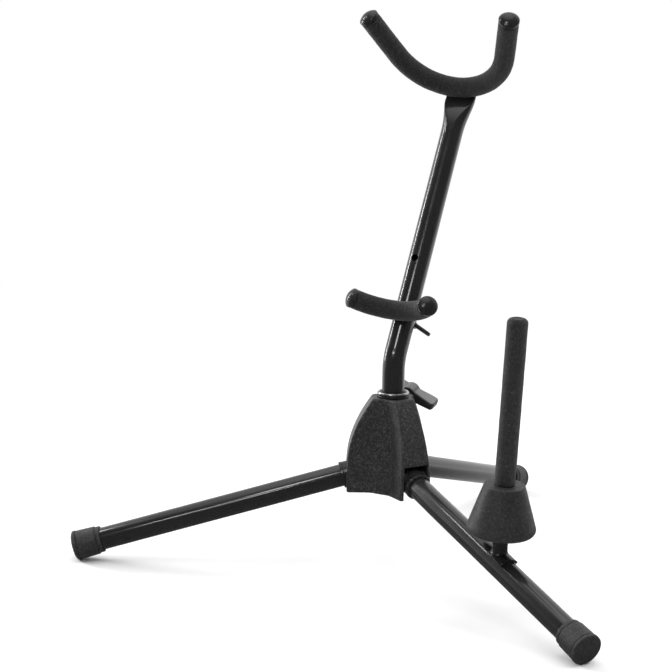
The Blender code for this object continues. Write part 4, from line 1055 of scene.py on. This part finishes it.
# ---- upright

def smooth_step(share):
    share = min(1.0, max(0.0, share))
    return share * share * (3.0 - 2.0 * share)


def soft_max(first, second, softness):
    return (first + second + math.sqrt((first - second) ** 2 + softness ** 2)) / 2.0


def upright_stations():
    """Stations up the tube: centre, lean there, and how far it is pressed flat."""
    half_bend = UPRIGHT_BEND_RADIUS * math.tan(UPRIGHT_LEAN / 2.0)
    bend_start = UPRIGHT_BEND_HEIGHT - half_bend
    straight = evenly(UPRIGHT_BOTTOM, bend_start, 6)[:-1]
    stations = [(Vector((0.0, 0.0, height)), 0.0, 0.0) for height in straight]
    for angle in evenly(0.0, UPRIGHT_LEAN, 28):
        centre = Vector((0.0, UPRIGHT_BEND_RADIUS * (1.0 - math.cos(angle)),
                         bend_start + UPRIGHT_BEND_RADIUS * math.sin(angle)))
        stations.append((centre, angle, 0.0))
    direction = Vector((0.0, math.sin(UPRIGHT_LEAN), math.cos(UPRIGHT_LEAN)))
    corner = Vector((0.0, 0.0, UPRIGHT_BEND_HEIGHT))
    places = (evenly(half_bend, PRESS_START_ALONG, 10)[1:-1]
              + evenly(PRESS_START_ALONG, PRESS_END_ALONG, 60)
              + evenly(PRESS_END_ALONG, UPRIGHT_TOP_ALONG, 8)[1:])
    for along in places:
        pressed = (along - PRESS_START_ALONG) / (PRESS_END_ALONG - PRESS_START_ALONG)
        stations.append((corner + direction * along, UPRIGHT_LEAN, min(1.0, max(0.0, pressed))))
    return stations


def upright_ring(centre, lean, pressed, wall):
    """One station's outline: a round, spread sideways and pressed flat from front and back."""
    radius = TUBE_RADIUS - wall
    widened = smooth_step(pressed ** PRESS_WIDENING_POWER)
    half_width = radius + (BLADE_HALF_WIDTH - TUBE_RADIUS) * widened
    hollow = pressed ** PRESS_POWER
    front = -TUBE_RADIUS + (TUBE_RADIUS + BLADE_SETBACK - BLADE_HALF_THICKNESS) * hollow + wall
    rear = TUBE_RADIUS - (TUBE_RADIUS - BLADE_SETBACK - BLADE_HALF_THICKNESS) * pressed - wall
    softness = PRESS_SOFTNESS * min(1.0, pressed * PRESS_SOFTENING)
    back = Vector((0.0, math.cos(lean), -math.sin(lean)))
    ring = []
    for k in range(ROUND):
        angle = math.tau * k / ROUND
        depth = radius * math.sin(angle)
        if pressed > 0.0:
            depth = soft_max(depth, front, softness)
            depth = -soft_max(-depth, -rear, softness)
        ring.append(centre + SIDEWAYS * (half_width * math.cos(angle)) + back * depth)
    return ring


def build_upright():
    stations = upright_stations()
    outer = [upright_ring(*station, wall=0.0) for station in stations]
    inner = [upright_ring(*station, wall=TUBE_WALL) for station in reversed(stations)]
    mesh = skinned("upright_tube", outer + inner, "joined")
    lean = HUB_FRAME.inverted() @ LEAN_FRAME
    tools = []
    for along in (BOLT_ALONG, SPARE_HOLE_ALONG):
        hole = cylinder("hole", BOLT_HOLE_RADIUS, -TUBE_RADIUS - CUT_OVERRUN,
                        TUBE_RADIUS + CUT_OVERRUN, "Y")
        tools.append((hole, lean @ Matrix.Translation((0.0, 0.0, along))))
    mesh = combined(mesh, "DIFFERENCE", tools)
    add_piece("upright_tube", mesh, "gloss_paint", HUB_FRAME, "upright", "main_tube")


# ---- yokes

def yoke_arc(radius, half_angle, height=0.0):
    """A yoke's bend radius, half angle, and half length up to its cap."""
    arc_height = radius * (1.0 - math.cos(half_angle))
    arm = max(0.0, (height - arc_height) / math.sin(half_angle))
    return radius, half_angle, radius * half_angle + arm


UPPER_ARC = yoke_arc(UPPER_ARC_RADIUS, UPPER_ARC_HALF_ANGLE, UPPER_YOKE_HEIGHT)
LOWER_ARC = yoke_arc(LOWER_ARC_RADIUS, LOWER_ARC_HALF_ANGLE)


def yoke_station(along, arc):
    """Centre and inward direction of a yoke at a distance from its middle."""
    radius, half_angle = arc[:2]
    angle = min(half_angle, max(-half_angle, along / radius))
    centre = Vector((radius * math.sin(angle), 0.0, radius * (1.0 - math.cos(angle))))
    beyond = abs(along) - radius * half_angle
    if beyond > 0.0:
        side = math.copysign(1.0, along)
        centre += Vector((side * math.cos(half_angle), 0.0, math.sin(half_angle))) * beyond
    inward = Vector((-math.sin(angle), 0.0, math.cos(angle)))
    return centre, inward


def foam_radius(along, angle, radius, end, crease, seams, seed):
    """Foam's outer radius: soft lumps, creases inside the bend, butt seams and rounded ends."""
    place = Vector((along * FOAM_LUMP_SCALE, math.cos(angle) * FOAM_ROUND_SCALE + seed,
                    math.sin(angle) * FOAM_ROUND_SCALE))
    reach = radius + FOAM_LUMPS * noise.noise(place)
    reach += FOAM_SKIN * noise.noise(place * FOAM_SKIN_SCALE)
    drift = noise.noise(Vector((along * FOAM_DRIFT_SCALE, seed, 0.0)))
    ripple = math.sin(math.tau * along / CREASE_SPACING + 2.0 * drift)
    reach += crease * max(0.0, math.cos(angle)) ** 3 * ripple
    for seam in seams:
        reach -= SEAM_DEPTH * math.exp(-((along - seam) / SEAM_HALF_WIDTH) ** 2)
    from_end = end - abs(along)
    if from_end < FOAM_END_RADIUS:
        over = 1.0 - from_end / FOAM_END_RADIUS
        reach -= FOAM_END_RADIUS * (1.0 - math.sqrt(max(0.0, 1.0 - over ** 2)))
    return reach


def sleeve_mesh(name, arc, radius, crease, seams, seed):
    """A foam tube along a yoke, with its bore."""
    end = arc[2] - CAP_SKIRT - FIT_GAP
    places = evenly(-end, end, math.ceil(2.0 * end / FOAM_STEP))
    for offset in FOAM_EDGE_STEPS:
        places += [offset - end, end - offset]
        for seam in seams:
            places += [seam - offset, seam + offset]
    places = sorted(set(places + list(seams)))
    outer = []
    inner = []
    for along in places:
        centre, inward = yoke_station(along, arc)
        outer_ring = []
        inner_ring = []
        for k in range(FOAM_SIDES):
            angle = math.tau * k / FOAM_SIDES
            way = inward * math.cos(angle) + Vector((0.0, 1.0, 0.0)) * math.sin(angle)
            reach = foam_radius(along, angle, radius, end, crease, seams, seed)
            outer_ring.append(centre + way * reach)
            inner_ring.append(centre + way * FOAM_BORE_RADIUS)
        outer.append(outer_ring)
        inner.append(inner_ring)
    return skinned(name, outer + list(reversed(inner)), "joined")


def build_upper_sleeve():
    mesh = sleeve_mesh("upper_foam", UPPER_ARC, UPPER_SLEEVE_RADIUS, UPPER_CREASE,
                       (UPPER_SEAM_ALONG,), UPPER_SEED)
    bm = bmesh.new()
    low = Vector((-BLADE_HALF_WIDTH - SLIT_GAP, BLADE_SETBACK - BLADE_HALF_THICKNESS - SLIT_GAP,
                  UPPER_YOKE_ALONG - UPPER_SLEEVE_RADIUS - CUT_OVERRUN))
    high = Vector((BLADE_HALF_WIDTH + SLIT_GAP, UPPER_SLEEVE_RADIUS,
                   UPRIGHT_TOP_ALONG + SLIT_GAP))
    bmesh.ops.create_cube(bm, size=1.0, matrix=Matrix.Translation((low + high) / 2.0)
                          @ Matrix.Diagonal((*(high - low), 1.0)))
    slit = finished(bm, "slit")
    mesh = combined(mesh, "DIFFERENCE", [(slit, UPPER_FRAME.inverted() @ LEAN_FRAME)])
    add_piece("upper_foam", mesh, "foam", UPPER_FRAME, "upright", "upper_yoke_sleeve")


def build_lower_sleeve():
    mesh = sleeve_mesh("lower_foam", LOWER_ARC, LOWER_SLEEVE_RADIUS, LOWER_CREASE, (), LOWER_SEED)
    to_lean = LEAN_FRAME.inverted() @ LOWER_FRAME
    from_lean = to_lean.inverted()
    clear = INSERTED_RADIUS + FIT_GAP
    for vertex in mesh.vertices:
        place = to_lean @ vertex.co
        distance = math.hypot(place.x, place.y)
        if distance < clear and place.y < 0.0:
            place.y = -math.sqrt(max(0.0, clear ** 2 - place.x ** 2))
            vertex.co = from_lean @ place
    stud_way = cylinder("stud_way", STUD_RADIUS + FIT_GAP, -LOWER_YOKE_FORWARD, 0.0, "Y")
    mesh = combined(mesh, "DIFFERENCE",
                    [(stud_way, from_lean @ Matrix.Translation((0.0, 0.0, BOLT_ALONG)))])
    add_piece("lower_foam", mesh, "foam", LOWER_FRAME, "upright", "lower_yoke_sleeve")


def build_caps(yoke, yoke_frame, arc, sleeve_radius):
    """Glossy end caps: a shallow dome, a rounded rim and a short skirt."""
    outer = sleeve_radius + CAP_EXTRA_RADIUS
    height = outer * CAP_DOME_SHARE
    ball = (outer ** 2 + height ** 2) / (2.0 * height)
    bore = ROD_RADIUS + FIT_GAP
    corners = [(reach, height - ball + math.sqrt(ball ** 2 - reach ** 2), 0.0)
               for reach in evenly(0.0, outer, 9)[:-1]]
    corners += [(outer, 0.0, 0.0009), (outer, -CAP_SKIRT, 0.0004), (bore, -CAP_SKIRT, 0.0002),
                (bore, ROD_IN_CAP + FIT_GAP, 0.0), (0.0, ROD_IN_CAP + FIT_GAP, 0.0)]
    for label, sign in (("left", -1.0), ("right", 1.0)):
        mesh = turned(f"{yoke}_end_{label}", rounded(corners, steps=7), 64)
        centre, inward = yoke_station(sign * arc[2], arc)
        outward = Vector((sign * inward.z, 0.0, sign * -inward.x))
        facing = outward.to_track_quat("Z", "Y").to_matrix().to_4x4()
        add_piece(f"{yoke}_end_{label}", mesh, "black_plastic",
                  yoke_frame @ Matrix.Translation(centre) @ facing, "upright",
                  f"{yoke}_yoke_cap_{label}")


def build_stud():
    mesh = threaded("yoke_stud_thread", STUD_RADIUS, -LOWER_YOKE_FORWARD + ROD_RADIUS + FIT_GAP,
                    STUD_TAIL)
    add_piece("yoke_stud_thread", mesh, "zinc_steel", BOLT_FRAME @ ALONG_Y, "upright",
              "lower_yoke_stud")


def build_wing_nut():
    low = TUBE_RADIUS + FIT_GAP
    high = low + NUT_BOSS_LENGTH
    corners = [(0.0, high, 0.0), (NUT_BOSS_RADIUS - NUT_BOSS_TAPER, high, 0.0008),
               (NUT_BOSS_RADIUS, low, 0.0004), (0.0, low, 0.0)]
    tip_low = low + NUT_WING_RISE
    outline = wing_outline((NUT_WING_ROOT, low + NUT_WING_LOW_INSET, high - NUT_WING_HIGH_INSET),
                           (NUT_WING_SPAN, tip_low, tip_low + NUT_WING_SWEEP), NUT_WING_CORNER)
    mesh = winged("nut", corners, outline, (NUT_WING_THICKNESS, NUT_WING_EDGE),
                  NUT_WING_ROOT_GROWTH, NUT_TURN, NUT_MELTING)
    bore = cylinder("nut_bore", STUD_RADIUS + THREAD_CLEARANCE, low - CUT_OVERRUN,
                    high + CUT_OVERRUN, "Y")
    mesh = combined(mesh, "DIFFERENCE", [(bore, HERE)])
    add_piece("wing_nut", mesh, "black_plastic", BOLT_FRAME, "yoke_nut", "lower_yoke_wing_nut",
              satin_material("satin_black_nut", NUT_PAINTED_TOP_LIGHT))


# ---- peg

def build_boss():
    """Stem and curved saddle, melted into one moulding."""
    leg = leg_matrix("right")
    peg = leg.inverted() @ PEG_FRAME
    crossing = peg.translation.x
    tilt = math.acos(min(1.0, abs((peg.to_3x3() @ UP).z)))
    outer = INSERTED_RADIUS + SADDLE_THICKNESS
    middle = crossing + math.tan(tilt) * outer
    arcs = []
    for radius, end in ((outer, SADDLE_HALF_ANGLE),
                        (INSERTED_RADIUS - SADDLE_OVERLAP, -SADDLE_HALF_ANGLE)):
        arcs += [(radius * math.sin(angle), radius * math.cos(angle))
                 for angle in evenly(-end, end, 16)]
    rings = [[Vector((x, y, z)) for y, z in arcs]
             for x in (middle - SADDLE_HALF_LENGTH, middle + SADDLE_HALF_LENGTH)]
    saddle = skinned("saddle", rings, "filled")
    foot_radius = BOSS_STEM_RADIUS + BOSS_STEM_FLARE
    corners = [(0.0, BOSS_TOP, 0.0), (BOSS_STEM_RADIUS, BOSS_TOP, 0.0006),
               (BOSS_STEM_RADIUS, TUBE_RADIUS + BOSS_STEM_FLARE * 2.0, BOSS_STEM_FILLET),
               (foot_radius, TUBE_RADIUS, 0.0), (foot_radius, BOSS_STEM_BOTTOM, 0.0),
               (0.0, BOSS_STEM_BOTTOM, 0.0)]
    stem = turned("stem", rounded(corners), ROUND_SMALL)
    mesh = moulded(combined(saddle, "UNION", [(stem, peg)]), *SADDLE_MELTING)
    tube_way = cylinder("tube_way", INSERTED_RADIUS - SADDLE_GRIP, crossing - SADDLE_CUT_REACH,
                        crossing + SADDLE_CUT_REACH, "X", ROUND)
    thread = cylinder("thread_way", SPINDLE_RADIUS + THREAD_CLEARANCE, SPINDLE_BOTTOM - FIT_GAP,
                      BOSS_TOP + CUT_OVERRUN)
    mesh = combined(mesh, "DIFFERENCE", [(tube_way, HERE), (thread, peg)])
    add_piece("peg_saddle", mesh, "black_plastic", leg, "right_leg", "peg_boss")


def build_cone():
    """Hollow rubber cone: eased top rim, straight flank, soft lower edge and a middle tube."""
    bore = SPINDLE_RADIUS + FIT_GAP
    low = CONE_BOTTOM
    corners = [(bore, CONE_TOP, 0.0003), (CONE_TOP_RADIUS, CONE_TOP, 0.0012),
               (CONE_WIDEST_RADIUS + 0.0008, low + 0.0014, CONE_EDGE_RADIUS),
               (CONE_WIDEST_RADIUS - CONE_EDGE_RADIUS - 0.0010, low, 0.0012),
               (CONE_WIDEST_RADIUS - CONE_EDGE_RADIUS - 0.0032, low + 0.0020, 0.0008),
               (CONE_TOP_RADIUS - CONE_WALL, CONE_TOP - CONE_WALL, 0.0015),
               (CONE_HUB_RADIUS, CONE_TOP - CONE_WALL, 0.0012), (CONE_HUB_RADIUS, low, 0.0005),
               (bore, low, 0.0003)]
    outline = rounded(corners, closed=True, steps=8)
    mesh = turned("rubber_cone", split_long(outline + outline[:1], 0.002)[:-1], 128, closed=True)
    add_piece("rubber_cone", mesh, "rubber", PEG_FRAME, "peg", "peg_cone")


def felt_wobble(angle, height):
    """Slight unevenness of the felt round the peg."""
    place = Vector((math.cos(angle) * FELT_ROUND_SCALE, math.sin(angle) * FELT_ROUND_SCALE,
                    height * FELT_LUMP_SCALE))
    return FELT_LUMPS * noise.noise(place) + FELT_NAP * noise.noise(place * FELT_NAP_SCALE)


def build_cover():
    """Felt sleeve with a rounded top, a shallow dimple and a soft lower hem."""
    low = CONE_TOP + FIT_GAP
    bore = CORE_RADIUS + FIT_GAP
    corners = [(0.0, COVER_TOP - COVER_DIMPLE, 0.0),
               (0.0022, COVER_TOP - COVER_DIMPLE * 0.8, 0.003),
               (0.0040, COVER_TOP, 0.0016),
               (COVER_RADIUS, COVER_TOP - 0.0002, COVER_CORNER_RADIUS - 0.0006),
               (COVER_RADIUS, low, 0.0006), (bore, low, 0.0003),
               (bore, CORE_TOP + FIT_GAP, 0.0), (0.0, CORE_TOP + FIT_GAP, 0.0)]
    profile = split_long(rounded(corners, steps=9), 0.0012)
    mesh = turned("felt_cover", profile, ROUND, wobble=felt_wobble)
    add_piece("felt_cover", mesh, "felt", PEG_FRAME, "peg", "peg_cover")


# ---- stage

def seen_from(azimuth, elevation):
    """The direction from the stand to a place; azimuth turns from the front towards +X."""
    return Vector((math.sin(azimuth) * math.cos(elevation),
                   -math.cos(azimuth) * math.cos(elevation), math.sin(elevation)))


def camera_axes():
    back = seen_from(CAMERA_AZIMUTH, CAMERA_ELEVATION)
    right = UP.cross(back).normalized()
    up = back.cross(right)
    x_axis = right * math.cos(CAMERA_ROLL) + up * math.sin(CAMERA_ROLL)
    y_axis = up * math.cos(CAMERA_ROLL) - right * math.sin(CAMERA_ROLL)
    return right, x_axis, y_axis, back


def add_camera():
    right, x_axis, y_axis, back = camera_axes()
    target = Vector((0.0, joint_point("upright_turn").y, CAMERA_TARGET_HEIGHT))
    target += right * CAMERA_TARGET_OFFSET
    data = bpy.data.cameras.new("camera")
    data.sensor_width = CAMERA_SENSOR
    data.lens = CAMERA_LENS
    data.clip_start = 0.05
    place = axes_matrix(target + back * CAMERA_DISTANCE, x_axis, y_axis)
    bpy.context.scene.camera = loose_object("camera", data, place)


def add_softbox(name, azimuth, elevation, distance, width, height, watts, mirrored=True):
    """A rectangular lamp aimed at the middle of the stand; it may be kept out of reflections."""
    back = seen_from(math.radians(azimuth), math.radians(elevation))
    data = bpy.data.lights.new(name, "AREA")
    data.shape = "RECTANGLE"
    data.size = width
    data.size_y = height
    data.energy = watts
    lamp = loose_object(name, data)
    lamp.visible_glossy = mirrored
    lamp.location = LAMP_TARGET + back * distance
    lamp.rotation_mode = "QUATERNION"
    lamp.rotation_quaternion = back.to_track_quat("Z", "Y")


def add_floor(material):
    bm = bmesh.new()
    bmesh.ops.create_grid(bm, x_segments=1, y_segments=1, size=FLOOR_SIZE)
    loose_object("floor", painted(finished(bm, "floor"), material))


def add_world():
    """A studio that is bright behind the stand and overhead, and dim behind the camera."""
    world = bpy.data.worlds.new("studio")
    world.use_nodes = True
    graph = Graph(world.node_tree)
    way = graph.add("TexCoord", {}).outputs["Generated"]
    behind = graph.spread(graph.towards_camera(way), WALL_START, WALL_END, WALL_BRIGHT, WALL_DIM,
                          interpolation_type="SMOOTHSTEP")
    height = graph.add("SeparateXYZ", {"Vector": way}).outputs["Z"]
    overhead = graph.spread(height, ZENITH_START, ZENITH_END, 0.0, ZENITH_BRIGHT,
                            interpolation_type="SMOOTHSTEP")
    ray = graph.add("LightPath", {})
    chosen = graph.add("Mix", {"Factor": ray.outputs["Is Camera Ray"], "B": BACKDROP_BRIGHT,
                               "A": graph.maths("ADD", behind, overhead)})
    background = graph.nodes["Background"]
    graph.feed(background.inputs["Color"], (1.0, 1.0, 1.0))
    graph.feed(background.inputs["Strength"], chosen.outputs["Result"])
    bpy.context.scene.world = world


def build_stage():
    add_floor(floor_material())
    add_world()
    add_softbox("top_softbox", 60.0, 76.0, 2.4, 2.4, 2.0, 28.0, mirrored=False)
    add_softbox("left_key", -88.0, 12.0, 2.2, 0.7, 0.5, 44.0, mirrored=False)
    add_softbox("left_strip", -86.0, 18.0, 2.0, 0.10, 1.3, 12.0)
    add_softbox("front_softbox", 9.0, 42.0, 2.2, 0.42, 0.26, 4.0)
    add_softbox("left_softbox", -71.0, 46.0, 2.2, 0.50, 0.16, 2.6)
    add_softbox("low_strip", 5.0, 28.5, 2.2, 0.80, 0.07, 4.0)
    add_softbox("right_softbox", 122.0, 40.0, 2.0, 0.9, 0.8, 16.0, mirrored=False)
    add_camera()
    bpy.context.scene.view_settings.view_transform = "Standard"


# ---- assembly

def make_finishes():
    """The material of each finish named in the record."""
    return {"gloss_paint": paint_material(), "black_plastic": gloss_plastic_material(),
            "zinc_steel": zinc_material(), "foam": foam_material(), "rubber": rubber_material(),
            "brass": brass_material(), "hub_plastic": hub_material(),
            "chrome": chrome_material(), "felt": felt_material()}


def paint_cad_nodes():
    """Pieces that stay as their CAD solids, mostly hidden, get their finish here."""
    for node, slot in (("left_pivot_pin", "zinc_steel"), ("right_pivot_pin", "zinc_steel"),
                       ("rear_pivot_pin", "zinc_steel"), ("clamp_insert", "brass"),
                       ("upper_yoke_rod", "gloss_paint"), ("lower_yoke_rod", "gloss_paint"),
                       ("peg_spindle", "zinc_steel"), ("peg_core", "black_plastic")):
        painted(frame["nodes"][node].data, FINISHES[slot])


def build():
    paint_cad_nodes()
    build_hub()
    build_bush()
    build_ring()
    build_clamp_screw()
    build_clamp_knob()
    for side in ("left", "right", "rear"):
        build_knuckle(side)
        build_leg_tube(side)
        build_foot(side)
    build_upright()
    build_upper_sleeve()
    build_lower_sleeve()
    build_caps("upper", UPPER_FRAME, UPPER_ARC, UPPER_SLEEVE_RADIUS)
    build_caps("lower", LOWER_FRAME, LOWER_ARC, LOWER_SLEEVE_RADIUS)
    build_stud()
    build_wing_nut()
    build_boss()
    build_cone()
    build_cover()
    build_stage()


FINISHES = make_finishes()
build()
